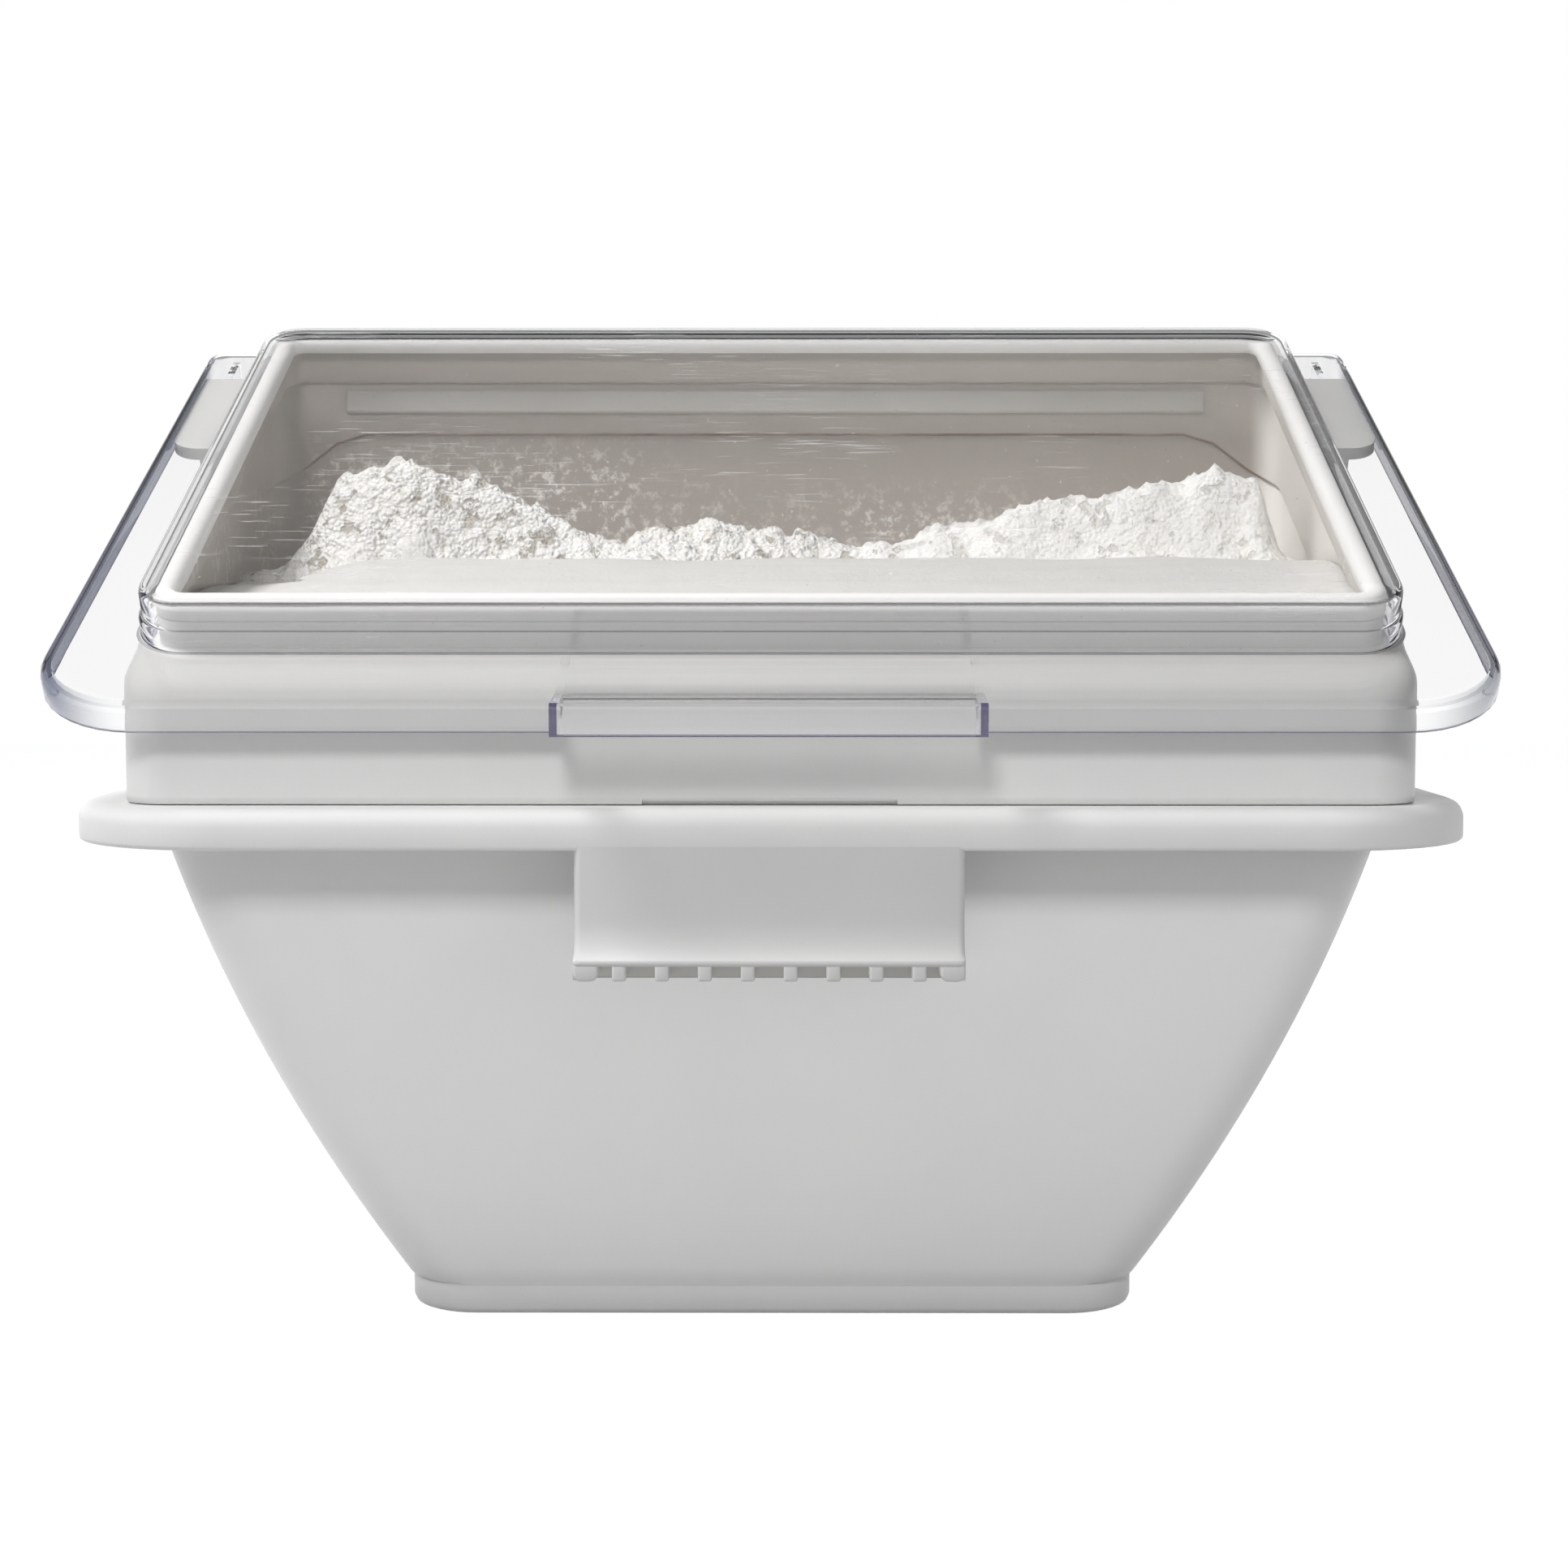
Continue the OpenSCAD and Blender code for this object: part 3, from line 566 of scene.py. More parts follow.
# Depth and height round an end plate
END_PROFILE = [(-140.2, HANDLE_TOP), (-140.2, FLARE_Z), (-141.2, 146), (-144.2, 141), (-147.4, 136.5),
               (-146.6, RIB_LOW + 0.4), (-145, RIB_LOW)]
END_PROFILE += [(wall_y(z), z) for z in (RIB_LOW, 155, HANDLE_TOP)]
END_XS = (65, 64.6, 61.8, 61.4)
RIB_END_XS, RIB_END_ZS, RIB_END_YS = (64.95, 56.6), (RIB_LOW, 139.6), (-148.2, -133)
RIBS, RIB_PITCH, RIB_HALF = 8, 14.2, 2.3
RIB_ZS, RIB_YS = (RIB_LOW, 139.4), (-147.8, -134)
RAIL_XS, RAIL_ZS, RAIL_YS = (-61.5, 61.5), (RIB_LOW - 0.5, 141.4), (-136.3, -132.7)

face_out = [(FACE_Y, z) for z in FACE_LEVELS]
for i in range(FLARE_STEPS + 1):
    turn = math.radians(FLARE_TURN * i / FLARE_STEPS)
    ahead = (-NOSE_Y + FACE_Y - NOSE_ROUND) * (1 - math.cos(turn))
    face_out.append((FACE_Y - ahead, FLARE_Z - FLARE_H * math.sin(turn)))
face_out += [(NOSE_Y + behind, z) for behind, z in NOSE_ROWS]
face_loops = []
for inset in FACE_INSETS:
    back = FACE_SOFT - math.sqrt(max(FACE_SOFT ** 2 - max(FACE_SOFT - inset, 0) ** 2, 0))
    x = -FACE_HALF + inset
    face_loops.append([(x, y + back, z) for y, z in face_out] + [(x, y, z) for y, z in FACE_IN])
face_loops += [[(-x, y, z) for x, y, z in loop] for loop in reversed(face_loops)]
handle_parts = [capped([loop[::-1] for loop in face_loops])]
for side in (-1, 1):
    plate_xs = sorted(side * x for x in END_XS)
    handle_parts.append(capped([[(x, y, z) for y, z in reversed(END_PROFILE)] for x in plate_xs]))
    rib_end_xs = sorted(side * x for x in RIB_END_XS)
    handle_parts.append(block(rib_end_xs, RIB_END_ZS, RIB_END_YS, low_r=2.6, top_r=0.4, soft=0.9))
for i in range(RIBS):
    mid = (i - (RIBS - 1) / 2) * RIB_PITCH
    rib_xs = (mid - RIB_HALF, mid + RIB_HALF)
    handle_parts.append(block(rib_xs, RIB_ZS, RIB_YS, low_r=0.8, top_r=0.4, soft=0.8))
rail = block(RAIL_XS, RAIL_ZS, RAIL_YS, low_r=0.8, top_r=0.8, soft=0.6)
v, f = joined(handle_parts + [rail])
# The grip takes the darker copy of the white plastic and the rail the dark grey one, both painted shade
rail_faces = len(rail[1])
looks = [SHADED_GRIP_WHITE] * (len(f) - rail_faces) + [SHADED_POCKET] * rail_faces
handle = make("handle_shell", v, f, "tub", [SHADED_GRIP_WHITE, SHADED_POCKET], looks, sharp=45)
handle.visible_shadow = False
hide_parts("pull_handle")

# Hood with its slanted shoulder, neck, collar and inside
HOOD_XS = [-180, -120, -60, -43.2, -43, -20, 0, 20, 43, 43.2, 60, 120, 180]
HOOD_SIDES, HOOD_REARS = 12, 30
NOTCH_HALF, NOTCH_H, NOTCH_END_Z = 43.1, 1.4, 193
COLLAR_H, COLLAR_LOW, COLLAR_SIDE_H, COLLAR_SIDE_X, COLLAR_SIDE_RUN = 26.3, 208, 18.6, 180, 35
# Inset and height, then inset and depth below the shoulder, on the hood's outside
HOOD_FOOT, HOOD_WALL = [(0.6, 190.3), (0.0, 191)], [(0.0, 22), (0.0, SHOULDER_R)]
# Inset and height on the slope, up the neck and down again
NECK_OUT = [(-1.2, 0.0), (-0.3, 0.3), (0, 1.2), (0, NECK_H - 0.6), (0.6, NECK_H - 0.02)]
NECK_IN = [(2.4, NECK_H - 0.02), (3, NECK_H - 0.6), (3, -1.5), (2.2, -3.0)]
# Inset and depth below the shoulder or the collar, then inset and height, on the hood's inside
SHOULDER_IN, COLLAR_ROWS = [(7, 3.4), (5, 5.0), (4.6, 8)], [(4.6, 0), (4.2, 0.8), (3, 1.7)]
HOOD_IN = [(3, 200), (3, 190.6), (2.6, 190.3)]


def hood_loop(inset, z=None, below=0.0, notch=0.0):
    """Loop round the hood at a height, or else at a depth below the slanted shoulder."""
    r = max(HOOD_R - inset, LEAST_R)
    half = HOOD_D / 2 - inset
    out = []
    for x, y in outline(HOOD_W - 2 * inset, -half, half, r, r, HOOD_XS, HOOD_SIDES, HOOD_REARS):
        h = z if z is not None else SHOULDER_Z + (y + HOOD_D / 2) * TAN - below
        if notch and y < -half + TOUCH and abs(x) < NOTCH_HALF:
            h += notch
        out.append((x, y, h))
    return out


def collar_loop(inset, below):
    """Loop along the collar's lower edge, which hangs lower on the sides than at the back."""
    out = []
    for x, y, h in hood_loop(inset):
        depth = COLLAR_H + COLLAR_SIDE_H * smooth((abs(x) - COLLAR_SIDE_X) / COLLAR_SIDE_RUN) + below
        out.append((x, y, max(h - depth, COLLAR_LOW - below)))
    return out


def neck_loop(inset, n):
    r = max(NECK_R - inset, SMALL_LEAST_R)
    front, rear = NECK_FRONT + inset, NECK_REAR - inset
    pts = outline(NECK_W - 2 * inset, front, rear, r, r, HOOD_XS, HOOD_SIDES, HOOD_REARS)
    return [on_slope(x, s, n) for x, s in pts]


hood_loops = [hood_loop(inset, z, notch=NOTCH_H) for inset, z in HOOD_FOOT]
hood_loops.append(hood_loop(0.0, NOTCH_END_Z))
hood_loops += [hood_loop(inset, below=below) for inset, below in HOOD_WALL]
for sine, cosine in quarter(6):
    hood_loops.append(hood_loop(SHOULDER_R * (1 - cosine), below=SHOULDER_R * (1 - sine)))
hood_loops += [neck_loop(*row) for row in NECK_OUT]
hood_inner = len(hood_loops)
hood_loops += [neck_loop(*row) for row in NECK_IN]
hood_loops += [hood_loop(inset, below=below) for inset, below in SHOULDER_IN]
brown_line_rows = (len(hood_loops), len(hood_loops) + 1)
hood_loops += [collar_loop(*row) for row in COLLAR_ROWS]
hood_loops += [hood_loop(*row) for row in HOOD_IN]


def hood_look(row):
    if row in brown_line_rows:
        return BROWN_LINE
    return INSIDE if hood_inner <= row < len(hood_loops) - 1 else WHITE


v, f, cells = loft(hood_loops, closed=True)
looks = [hood_look(row) for row, column in cells]
hood = make("hood_shell", v, f, "hood", [WHITE, INSIDE, BROWN_LINE], looks, sharp=55)
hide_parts("hood")

# Ledge across the inside of the hood's back, coloured grey as painted shade but lighter than the wall as
# painted light
LEDGE_XS, LEDGE_ZS, LEDGE_YS, LEDGE_SOFT = (-186, 186), (338.7, 348.6), (118.5, 123.2), 1.2
v, f = block(LEDGE_XS, LEDGE_ZS, LEDGE_YS, LEDGE_SOFT, LEDGE_SOFT, LEDGE_SOFT)
ledge = make("hood_ledge", v, f, "hood", [PAINTED_LEDGE], sharp=50)

# Seal bead on the neck; a row is inset and height on the slope
SEAL_ROWS = [
    (0.0, NECK_H), (0.0, 15.4), (0.5, 17.0), (1.6, 18.2), (3.0, SEAL_TOP), (4.5, SEAL_TOP),
    (5.9, 18.2), (7.0, 17.0), (7.5, 15.4), (7.5, NECK_H + 0.6), (6.9, NECK_H)]
v, f = loft([neck_loop(*row) for row in SEAL_ROWS], closed=True)[:2]
seal = make("seal_bead", v, f, "hood", [SEAL], sharp=60)
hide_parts("mouth_seal")

# Clear lid: loops over its upper face, then back under it; places are along the slope and above it
TIP = (GRIP_FRONT, FLANGE_TOP + GRIP_RISE)
DROP = (-SIN, -COS)
INWARD = (COS, -SIN)
PLATE_RUN, PLATE_FALL = GRIP_BACK - TIP[0], FLANGE_TOP - TIP[1]
PLATE = np.array((PLATE_RUN, PLATE_FALL)) / math.hypot(PLATE_RUN, PLATE_FALL)
PLATE_LEVEL, PLATE_CURVE = 0.3, 0.4
TIP_ROUND, BEND, BEND_STEPS = 1.2, 4, 4
GRIP_IN = GRIP_HALF - LID_T
LID_SIDES, LID_REARS, GRIP_STEPS = 10, 10, 8
BESIDE_XS, BESIDE_GAP, STEP_GAP = [-190, -150, -110, -85], 2, 0.04
SKIRT_START, SKIRT_RUN = 9, 8
LIP_SOFT, LIP_EDGE, LIP_IN_SOFT = 0.9, 0.6, 0.5
FOOT_OUT, FOOT_IN, EDGE_IN = 1.6, 2.4, 1.4
FLANGE_SHARES, LAST_SHARE = (0.12, 0.3, 0.45, 0.55, 0.65, 0.72), 0.9
# Inset and height above the flange, then inset and depth below the window's top
STEP_ROWS = [(-0.5, 0.5), (0, 1.6), (0, 7.0), (0.25, 7.8), (0.8, 8.1), (1.2, 8.8)]
TOP_ROWS = [(1.2, 2.4), (1.6, 1.1), (2.5, 0.3), (3.9, 0), (20, 0)]
# The same on the underside, from the middle outwards
TOP_IN_ROWS = [(20, 0), (5.0, 0), (4.1, 0.4), (3.8, 1.3)]
STEP_IN_ROWS = [(3.8, 1.4), (3.4, 0.4), (FOOT_IN, 0)]
# Inset and depth below the flange, and the pull's place behind and below its tip, on the bend's inside
BEND_IN_ROWS = [
    (LID_T + EDGE_IN, 0, 3.6, 2.8), (LID_T + 0.4, 0.4, LID_T + 0.3, LID_T + 0.1),
    (LID_T, 1.4, LID_T - 0.4, LID_T + 0.8)]


def from_tip(along, inward=0.0):
    """Point on the pull's lip: along it downwards, and in from its outer face."""
    return tuple(TIP[k] + along * DROP[k] + inward * INWARD[k] for k in range(2))


def lid_xs(half):
    """Columns along the lid's front, close together at the pull's ends."""
    inner = [half * k / GRIP_STEPS for k in range(1 - GRIP_STEPS, GRIP_STEPS)]
    beside = BESIDE_XS + [-half - BESIDE_GAP, -half - STEP_GAP, -half + STEP_GAP, -half + LID_T]
    return beside + inner + [-x for x in reversed(beside)]


GRIP_COLUMNS = [i for i, x in enumerate(lid_xs(GRIP_HALF)) if abs(x) < GRIP_HALF]
WEB_COLUMNS = [GRIP_COLUMNS[0], GRIP_COLUMNS[-2]]


def lid_loop(inset, n, grip, half, lip=None):
    """Loop at an inset from the lid's edge; the pull's columns go to grip, lip lifts the lip's end."""
    w, front, rear = LID_W - 2 * inset, LID_FRONT + inset, LID_BACK - inset
    front_r, rear_r = LID_FRONT_R - inset, max(LID_REAR_R - inset, SMALL_LEAST_R)
    out = []
    for x, s in outline(w, front, rear, front_r, rear_r, lid_xs(half), LID_SIDES, LID_REARS):
        m = n
        if abs(x) < half and s < front + TOUCH:
            s, m = grip
        elif lip is not None:
            skirt = min(max((s - LID_BACK + SKIRT_START) / SKIRT_RUN, 0), 1)
            m = FLANGE_LOW - LIP_H - (SKIRT_H - LIP_H) * skirt + lip
        out.append(on_slope(x, s, m))
    return out


def window_loop(inset, n, half=GRIP_HALF):
    r = max(WINDOW_R - inset, LEAST_R)
    front, rear = WINDOW_FRONT + inset, WINDOW_REAR - inset
    pts = outline(WINDOW_W - 2 * inset, front, rear, r, r, lid_xs(half), LID_SIDES, LID_REARS)
    return [on_slope(x, s, n) for x, s in pts]


def between(a, b, t, keep=None):
    """Loop part of the way between two others; the pull's columns take the place that is given."""
    out = []
    for i, (p, q) in enumerate(zip(a, b)):
        point = tuple(p[k] + (q[k] - p[k]) * t for k in range(3))
        if keep is not None and i in GRIP_COLUMNS:
            point = on_slope(point[0], *keep)
        out.append(point)
    return out


def tip_round(u):
    """Point part of the way round the pull's tip."""
    low, tip, high = np.array(from_tip(TIP_ROUND)), np.array(TIP), np.array(TIP) + TIP_ROUND * PLATE
    return tuple((1 - u) ** 2 * low + 2 * u * (1 - u) * tip + u * u * high)


def grip_share(t):
    """Rise of the pull's plate: level at its foot, then curved, then straight."""
    u = max((t - PLATE_LEVEL) / (1 - PLATE_LEVEL), 0)
    curved = PLATE_CURVE ** 2
    rise = u * u if u < PLATE_CURVE else curved + 2 * PLATE_CURVE * (u - PLATE_CURVE)
    return rise / (curved + 2 * PLATE_CURVE * (1 - PLATE_CURVE))


def flange_loops(edge, foot, first, last, inset, level):
    """Loops from the lid's edge to the window's foot, with the pull's plate rising in its columns."""
    back, tip, front = GRIP_BACK + inset, GRIP_FRONT + inset, LID_FRONT + inset
    loops = []
    for t in (*FLANGE_SHARES, (back - first) / (last - first), LAST_SHARE):
        s = first + (last - first) * t
        keep = None
        if s <= back + TOUCH:
            s_grip = back - (back - s) * (back - tip) / (back - front)
            keep = (s_grip, level + GRIP_RISE * grip_share((back - s_grip) / (back - tip)))
        loops.append(between(edge, foot, t, keep))
    return loops


lid_loops = [
    lid_loop(LIP_EDGE, 0, from_tip(GRIP_LIP, LIP_EDGE), GRIP_HALF, lip=0.0),
    lid_loop(0, 0, from_tip(GRIP_LIP - LIP_SOFT), GRIP_HALF, lip=LIP_SOFT),
    lid_loop(0, FLANGE_TOP - BEND, tip_round(0), GRIP_HALF)]
for i, (sine, cosine) in enumerate(quarter(BEND_STEPS)):
    height = FLANGE_TOP - BEND + BEND * sine
    lid_loops.append(lid_loop(BEND * (1 - cosine), height, tip_round((i + 1) / BEND_STEPS), GRIP_HALF))
bend_last = len(lid_loops) - 1
foot = window_loop(-FOOT_OUT, FLANGE_TOP)
lid_loops += flange_loops(
    lid_loops[bend_last], foot, LID_FRONT + BEND, WINDOW_FRONT - FOOT_OUT, 0, FLANGE_TOP)
foot_row = len(lid_loops)
lid_loops.append(foot)
lid_loops += [window_loop(inset, FLANGE_TOP + height) for inset, height in STEP_ROWS]
lid_loops += [window_loop(inset, WINDOW_TOP - below) for inset, below in TOP_ROWS]

bend_in = []
for inset, below, behind, under in BEND_IN_ROWS:
    bend_in.append(lid_loop(inset, FLANGE_LOW - below, (TIP[0] + behind, TIP[1] - under), GRIP_IN))
under_loops = [window_loop(inset, WINDOW_UNDER - below, GRIP_IN) for inset, below in TOP_IN_ROWS]
under_loops += [window_loop(inset, FLANGE_LOW + height, GRIP_IN) for inset, height in STEP_IN_ROWS]
under_foot = len(under_loops) - 1
under_loops += reversed(flange_loops(
    bend_in[0], under_loops[under_foot], LID_FRONT + LID_T + EDGE_IN, WINDOW_FRONT + FOOT_IN, LID_T,
    FLANGE_LOW))
under_edge = len(under_loops)
lip_in = LID_T - LIP_IN_SOFT
under_loops += bend_in
under_loops += [
    lid_loop(LID_T, 0, from_tip(GRIP_LIP - LIP_IN_SOFT, LID_T), GRIP_IN, lip=LIP_IN_SOFT),
    lid_loop(lip_in, 0, from_tip(GRIP_LIP, lip_in), GRIP_IN, lip=0.0)]

# Rows of the thin step lines, painted grey as dark lines where the clear steps bend the light: the window's
# foot, its step and its top edge
LINE_ROWS = [foot_row, foot_row + 4, foot_row + 8]
LID_MATERIALS = [CLEAR, BORDER, UNDER, LIP, EDGE, WEB, PULL, LINE]


def lid_look(row, column):
    if column in WEB_COLUMNS and row < bend_last:
        return WEB
    if row == 0:
        return EDGE
    if row < bend_last:
        return PULL if column in GRIP_COLUMNS else LIP
    if row in LINE_ROWS:
        return LINE
    return BORDER if row < foot_row else CLEAR


def under_look(row, column):
    if row >= under_edge:
        return PULL if column in GRIP_COLUMNS else LIP
    return UNDER if row >= under_foot else CLEAR


upper_v, upper_f, upper_cells = loft(lid_loops, caps=(False, True))
under_v, under_f, under_cells = loft(under_loops, caps=(True, False))
v, f = joined([(upper_v, upper_f), (under_v, under_f)])
count = len(lid_loops[0])
last_loop = len(v) - count
f += [(last_loop + i, last_loop + (i + 1) % count, (i + 1) % count, i) for i in range(count)]
looks = [lid_look(*cell) for cell in upper_cells] + [under_look(*cell) for cell in under_cells]
lid = make("lid_shell", v, f, "lid", LID_MATERIALS, looks + [EDGE] * count, sharp=42)
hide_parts("lid")

# Hinge cheeks under the lid's rear corners
CHEEK_XS = (234, 237)
cheek_profile = [(HINGE_S + CHEEK_R, FLANGE_LOW), (HINGE_S - CHEEK_R, FLANGE_LOW)]
for angle in range(180, 361, 15):
    turn = math.radians(angle)
    cheek_profile.append((HINGE_S + CHEEK_R * math.cos(turn), HINGE_N + CHEEK_R * math.sin(turn)))
for side, tag in ((-1, "left"), (1, "right")):
    ends = sorted(side * x for x in CHEEK_XS)
    v, f = capped([[on_slope(x, s, n) for s, n in cheek_profile] for x in ends])
    cheek = make("lid_cheek_" + tag, v, f, "lid", [CLEAR])

# Flour with a smooth front band and a crumbly ridge behind it
CREST_SHARES = [
    (-1, -0.14), (-0.9, -0.05), (-0.85, 0.33), (-0.8, 0.76), (-0.695, 1), (-0.58, 0.88), (-0.46, 0.64),
    (-0.37, 0.38), (-0.31, 0.24), (-0.1, 0.38), (0, 0.33), (0.135, 0.17), (0.27, 0.31), (0.44, 0.57),
    (0.64, 0.71), (0.8, 0.93), (0.87, 0.81), (0.92, 0.1), (1, -0.14)]
CREST_Z, CREST_H, REAR_Z, REAR_FALL = 274, 42, 262.5, 0.32
BAND_Z, BAND_RISE, BAND_FRONT, BAND_RUN = 228, 46, -128, 150
SWING_H, SWING_Y, SWING_RUN = 2.4, -40, 50
DIP_H, DIP_X, DIP_X_RUN, DIP_Y, DIP_Y_RUN = 12, -150, 58, -90, 60
LINE_Y, LINE_SWING, EDGE_Y, EDGE_SWING, EDGE_RIPPLE = 43, 5, 20, 11, 5
ROUGH_LEAD, ROUGH_RUN, LOW_CREST_Z, LOW_CREST_RUN, LOW_CREST_SHARE = 1, 6, 276, 16, 0.35
RIGHT_X, RIGHT_RUN, RIGHT_CALM, FACE_CALM, FACE_CALM_RUN = 10, 50, 0.75, 0.72, 0.25
FURROW_H, TROUGH_H, TROUGH_Y, TROUGH_RUN = 2.4, 1.3, 3, 4
STREAK_H, LUMP_H, CRUMB_H, CRUMB_MEAN = 0.35, 2.2, 1.25, 2.6
# Height, pitch and shift of three sizes of crumbs
CRUMBS = [(2.6, 0.1, (0, 0, 0)), (2.4, 0.19, (3, 7, 1)), (1.3, 0.4, (0, 0, 0))]
crest_x = [x * HOOD_W / 2 for x, h in CREST_SHARES]
crest_z = [CREST_Z + CREST_H * h for x, h in CREST_SHARES]


def crumb(p):
    """Height of rounded crumbs, each cell with its own size."""
    near, points = noise.voronoi(p)
    size = 0.45 + 0.55 * noise.cell(points[0] * 7.3)
    return size * math.sqrt(max(1 - (near[0] / 0.62) ** 2, 0))


def wave(x, pitch, row):
    """Slow swing along x; each row has its own."""
    return noise.noise(Vector((x * pitch, row, 0.0)))


def band_z(x, y, p):
    """Height of the smooth band, which swings a little and dips at the left."""
    slope = math.sin(math.pi / 2 * smooth((y - BAND_FRONT) / BAND_RUN))
    z = BAND_Z + BAND_RISE * slope + 0.8 * noise.noise(p)
    swing = SWING_H * wave(x, 0.017, 9.1) * smooth((y - SWING_Y) / SWING_RUN)
    dip = DIP_H * smooth((DIP_X - x) / DIP_X_RUN) * smooth((y - DIP_Y) / DIP_Y_RUN)
    return z + (swing - dip)


def roughness(x, y, edge, crest, face):
    """Share of the crumbs: more under a high crest, less on the face's right."""
    high = smooth((crest - LOW_CREST_Z) / LOW_CREST_RUN)
    rough = smooth((y - edge + ROUGH_LEAD) / ROUGH_RUN) * (LOW_CREST_SHARE + (1 - LOW_CREST_SHARE) * high)
    calm = smooth((x - RIGHT_X) / RIGHT_RUN) * RIGHT_CALM * (1 - smooth((face - FACE_CALM) / FACE_CALM_RUN))
    return rough * (1 - calm)


def flour_z(x, y):
    """Height of the flour: band, wandering edge, rough face up to the crest, and a fall behind it."""
    p = Vector((x * 0.012, y * 0.012, 3.1))
    band = band_z(x, y, p)
    crest = float(np.interp(x + 4 * noise.noise(p * 3), crest_x, crest_z))
    line = LINE_Y + LINE_SWING * wave(x, 0.03, 0.7)
    edge = EDGE_Y + EDGE_SWING * wave(x, 0.014, 5.2) + EDGE_RIPPLE * wave(x, 0.06, 2.2)
    face = smooth((y - edge) / (line - edge))
    back = max(y - line, 0) * REAR_FALL
    top = band + (max(crest - back, REAR_Z) - band) * face
    q = Vector((x, y, 0.45 * top))
    furrow = -FURROW_H * smooth((noise.noise(Vector((x * 0.09, 0.02 * y, 4.4))) - 0.12) / 0.4) * face
    lumps = noise.fractal(q * 0.05, 0.7, 2.1, 4)
    crumbs = sum(h * crumb(q * pitch + Vector(shift)) for h, pitch, shift in CRUMBS) - CRUMB_MEAN
    trough = -TROUGH_H * math.exp(-((y - edge - TROUGH_Y) / TROUGH_RUN) ** 2)
    streak = STREAK_H * noise.noise(Vector((x * 0.02, y * 0.16, 1.7)))
    rough = roughness(x, y, edge, crest, face) * (LUMP_H * lumps + CRUMB_H * crumbs)
    return top + rough + trough + furrow + streak * (1 - face)


FLOUR_FRONTS, FLOUR_SIDES, FLOUR_REARS, RINGS = 206, 110, 206, 100
FLOUR_X, FLOUR_FRONT_HALF, FLOUR_GAP = 203, 204, 4.4
FLOUR_XS = [-FLOUR_X + 2 * FLOUR_X * i / (FLOUR_FRONTS - 1) for i in range(FLOUR_FRONTS)]
FLOUR_WALL_ZS, FLOUR_RIM_ZS = (16, 40, 70, 100, 130, 160, 184), (189, 202)
FLOUR_RIM = (428, 237, 12)


def flour_ring(w, d, r, z):
    share = (w / 2 - r) / FLOUR_FRONT_HALF
    pts = outline(w, -d / 2, d / 2, r, r, [x * share for x in FLOUR_XS], FLOUR_SIDES, FLOUR_REARS)
    return [(x, y, z) for x, y in pts]


flour_loops = [flour_ring(*wall_size(z, FLOUR_GAP), z) for z in FLOUR_WALL_ZS]
flour_loops += [flour_ring(*FLOUR_RIM, z) for z in FLOUR_RIM_ZS]
rim_points = flour_ring(*FLOUR_RIM, 0)
for k in range(RINGS):
    g = 1 - k / RINGS
    flour_loops.append([(x * g, y * g, flour_z(x * g, y * g)) for x, y, z in rim_points])
v, f = capped(flour_loops)
flour = make("flour_heap", v, f, "tub", [FLOUR], sharp=180)
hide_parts("flour_fill")

# CAD pieces that are shown as they are, with softened edges
WELD_GAP, SOFT_EDGE, SOFT_STEPS, SOFT_ANGLE = 0.00002, 0.0007, 3, 35
for name in ("hinge_arm_left", "hinge_arm_right", "hinge_pin_left", "hinge_pin_right"):
    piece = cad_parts[name]
    piece.data.materials.clear()
    piece.data.materials.append(WHITE)
    weld = piece.modifiers.new("weld", "WELD")
    weld.merge_threshold = WELD_GAP
    soft = piece.modifiers.new("bevel", "BEVEL")
    soft.width = SOFT_EDGE
    soft.segments = SOFT_STEPS
    soft.limit_method = "ANGLE"
    soft.angle_limit = math.radians(SOFT_ANGLE)
    soft.harden_normals = True
    piece.data.polygons.foreach_set("use_smooth", [True] * len(piece.data.polygons))


# White for what the eye sees directly, in a reflection or through the lid, but not for light that bounces
def seen_white(nt):
    path = nt.nodes.new("ShaderNodeLightPath")
    eye = largest(nt, path.outputs["Is Camera Ray"], path.outputs["Is Glossy Ray"])
    eye = largest(nt, eye, path.outputs["Is Transmission Ray"])
    return product(nt, eye, maths(nt, "LESS_THAN", path.outputs["Diffuse Depth"], 0.5)), path


# Floor
FLOOR_X, FLOOR_FRONT, FLOOR_BACK, FLOOR_WHITE = 4, -2.5, 3.5, 0.9
floor_v = [(-FLOOR_X, FLOOR_FRONT, 0), (FLOOR_X, FLOOR_FRONT, 0),
           (FLOOR_X, FLOOR_BACK, 0), (-FLOOR_X, FLOOR_BACK, 0)]
mesh = bpy.data.meshes.new("floor")
mesh.from_pydata(floor_v, [], [(0, 1, 2, 3)])
floor = bpy.data.objects.new("floor", mesh)
bpy.context.collection.objects.link(floor)
m, nt, b = principled("floor")
greys = [(NOISE_LOW, 0.415), (NOISE_HIGH, 0.425)]
nt.links.new(grey(nt, noise_node(nt, scale=3, detail=2), greys), b.inputs["Base Color"])
b.inputs["Roughness"].default_value = 0.9
b.inputs["Specular IOR Level"].default_value = 0.0
lift = nt.nodes.new("ShaderNodeEmission")
total = nt.nodes.new("ShaderNodeAddShader")
nt.links.new(product(nt, seen_white(nt)[0], FLOOR_WHITE), lift.inputs["Strength"])
nt.links.new(b.outputs["BSDF"], total.inputs[0])
nt.links.new(lift.outputs["Emission"], total.inputs[1])
nt.links.new(total.outputs["Shader"], nt.nodes["Material Output"].inputs["Surface"])
mesh.materials.append(m)

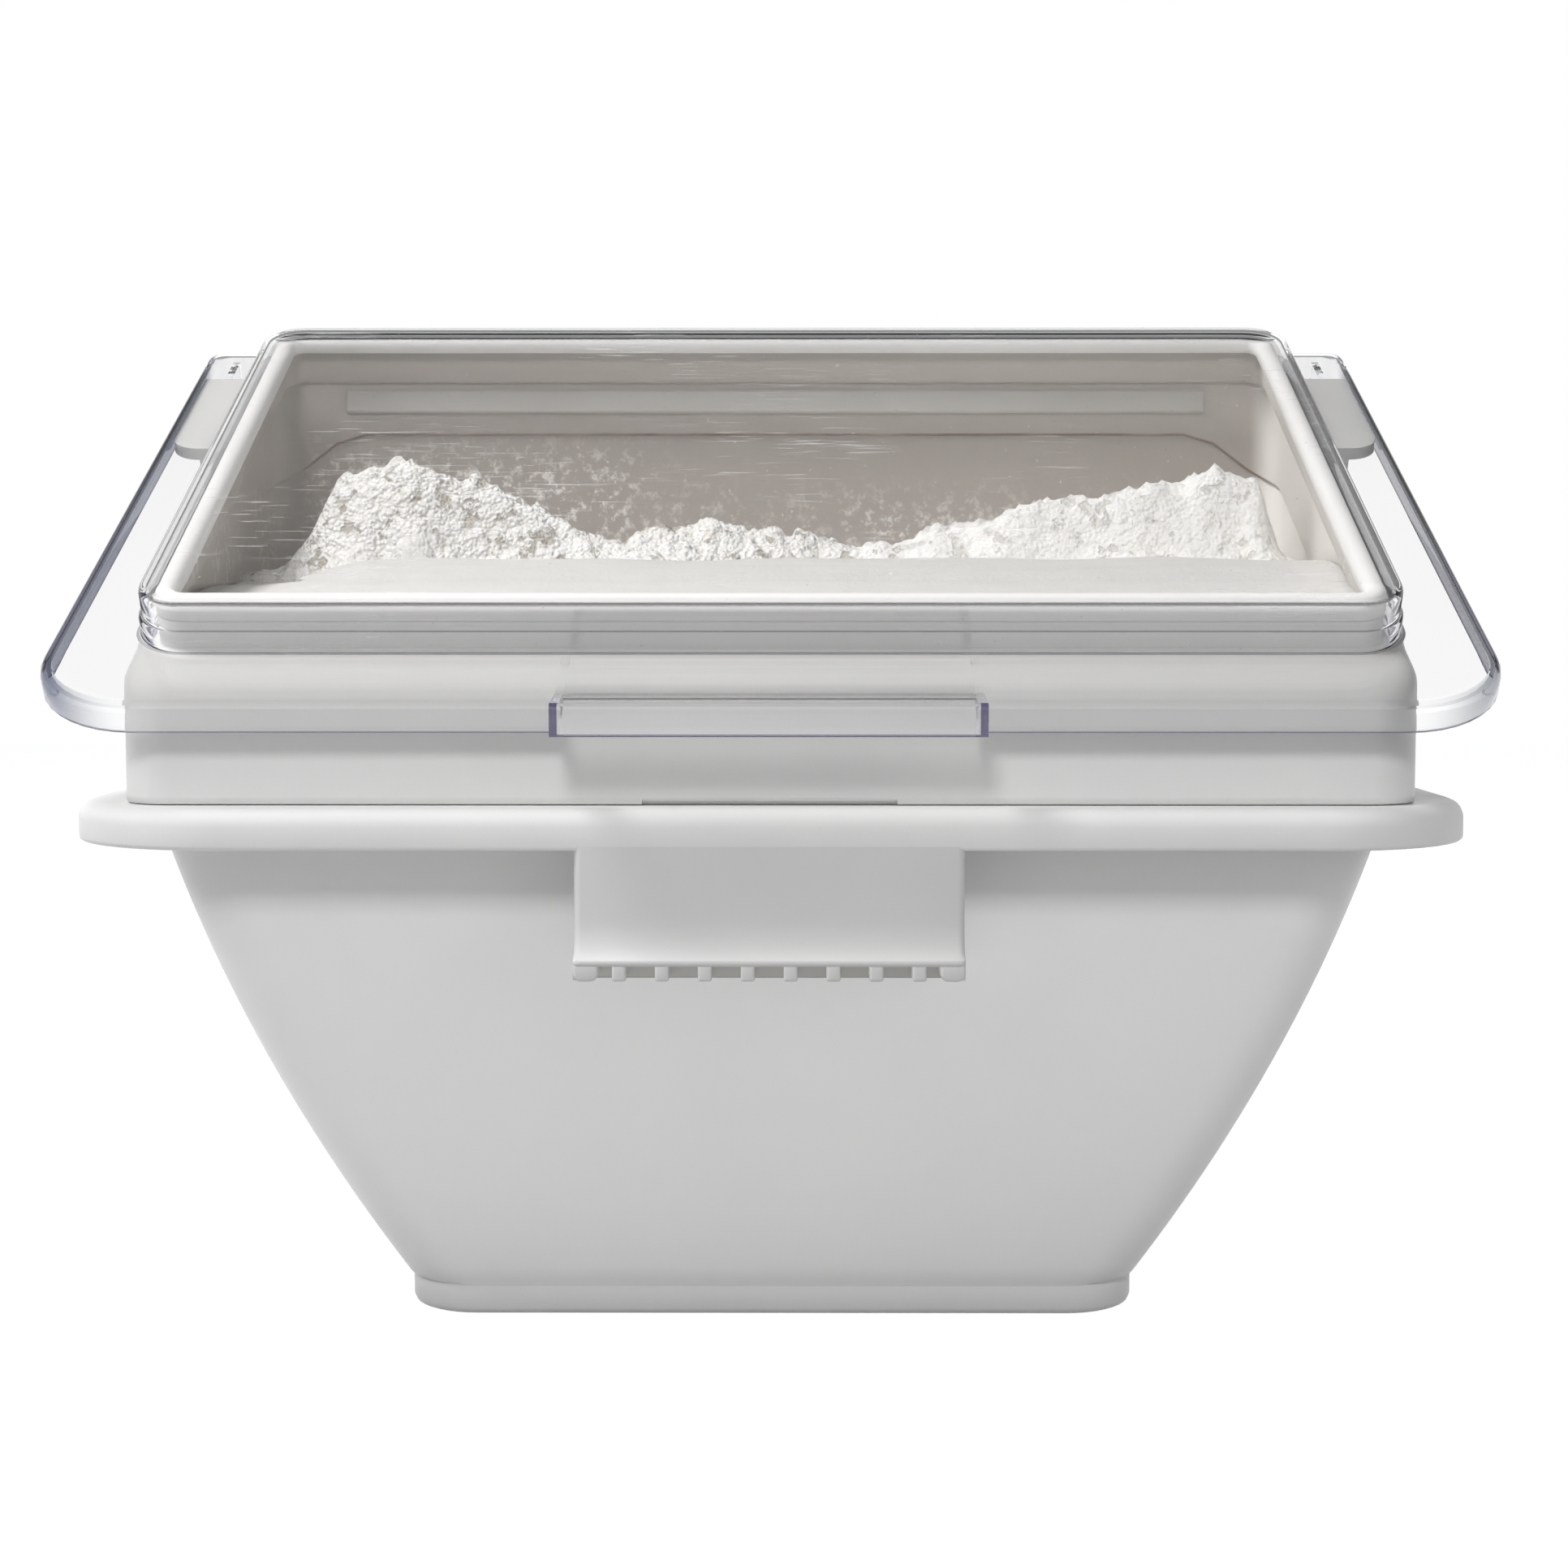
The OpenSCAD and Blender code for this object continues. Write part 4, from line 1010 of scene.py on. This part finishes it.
# Backdrop: white to the eye, darker overhead in reflections, and dim as a light
WORLD_COLOUR, WORLD_STRENGTH = (0.90, 0.92, 0.94, 1), 0.2
OVERHEAD, OVERHEAD_DARK = (0.2, 0.5), 0.65
scene = bpy.context.scene
world = bpy.data.worlds.new("world")
scene.world = world
world.use_nodes = True
wn = world.node_tree
back = wn.nodes["Background"]
back.inputs["Color"].default_value = WORLD_COLOUR
back.inputs["Strength"].default_value = WORLD_STRENGTH
white = wn.nodes.new("ShaderNodeBackground")
white.inputs["Color"].default_value = (1, 1, 1, 1)
seen, path = seen_white(wn)
high = product(wn, ranged(wn, place(wn, "Generated")[2], *OVERHEAD), OVERHEAD_DARK)
level = largest(wn, path.outputs["Is Camera Ray"], rest_of(wn, high))
wn.links.new(level, white.inputs["Strength"])
mix = wn.nodes.new("ShaderNodeMixShader")
wn.links.new(seen, mix.inputs["Fac"])
wn.links.new(back.outputs["Background"], mix.inputs[1])
wn.links.new(white.outputs["Background"], mix.inputs[2])
wn.links.new(mix.outputs["Shader"], wn.nodes["World Output"].inputs["Surface"])

# Square lamps: name, place, target, side and power, in metres and watts
LAMPS = [
    ("key", (-0.22, -1.75, 1.25), (0, 0, 0.2), 0.35, 12.5),
    ("top", (-0.7, -0.35, 1.5), (0, 0, 0.3), 0.5, 20),
    ("fill", (1.4, -1.2, 0.7), (0, 0, 0.15), 1.0, 4),
    ("side", (-1.4, -0.2, 0.95), (0.15, 0, 0.3), 0.5, 5),
    ("rear", (0.6, 2.0, 1.0), (0, 0, 0.2), 1.0, 6)]
for name, spot, target, side, power in LAMPS:
    data = bpy.data.lights.new(name, "AREA")
    data.shape = "RECTANGLE"
    data.size = side
    data.size_y = side
    data.energy = power
    lamp = bpy.data.objects.new(name, data)
    bpy.context.collection.objects.link(lamp)
    lamp.location = spot
    lamp.rotation_euler = (Vector(target) - Vector(spot)).to_track_quat("-Z", "Y").to_euler()
    lamp.visible_transmission = False
    lamp.visible_glossy = False

# Camera, matched to the photo; the focal length and the photo's side are in pixels
FOCAL_PIXELS, PHOTO_PIXELS, SENSOR = 3000, 1932, 36
CAMERA_PLACE, CAMERA_DOWN, CAMERA_TURN = (0.008, -0.945, 0.2585), 4.27, 0.222
cam_data = bpy.data.cameras.new("camera")
cam_data.lens = FOCAL_PIXELS / PHOTO_PIXELS * SENSOR
cam_data.sensor_width = SENSOR
cam_data.clip_start = 0.01
cam = bpy.data.objects.new("camera", cam_data)
bpy.context.collection.objects.link(cam)
cam.location = CAMERA_PLACE
cam.rotation_euler = (math.radians(90 - CAMERA_DOWN), 0, math.radians(CAMERA_TURN))
scene.camera = cam
scene.view_settings.view_transform = "Standard"
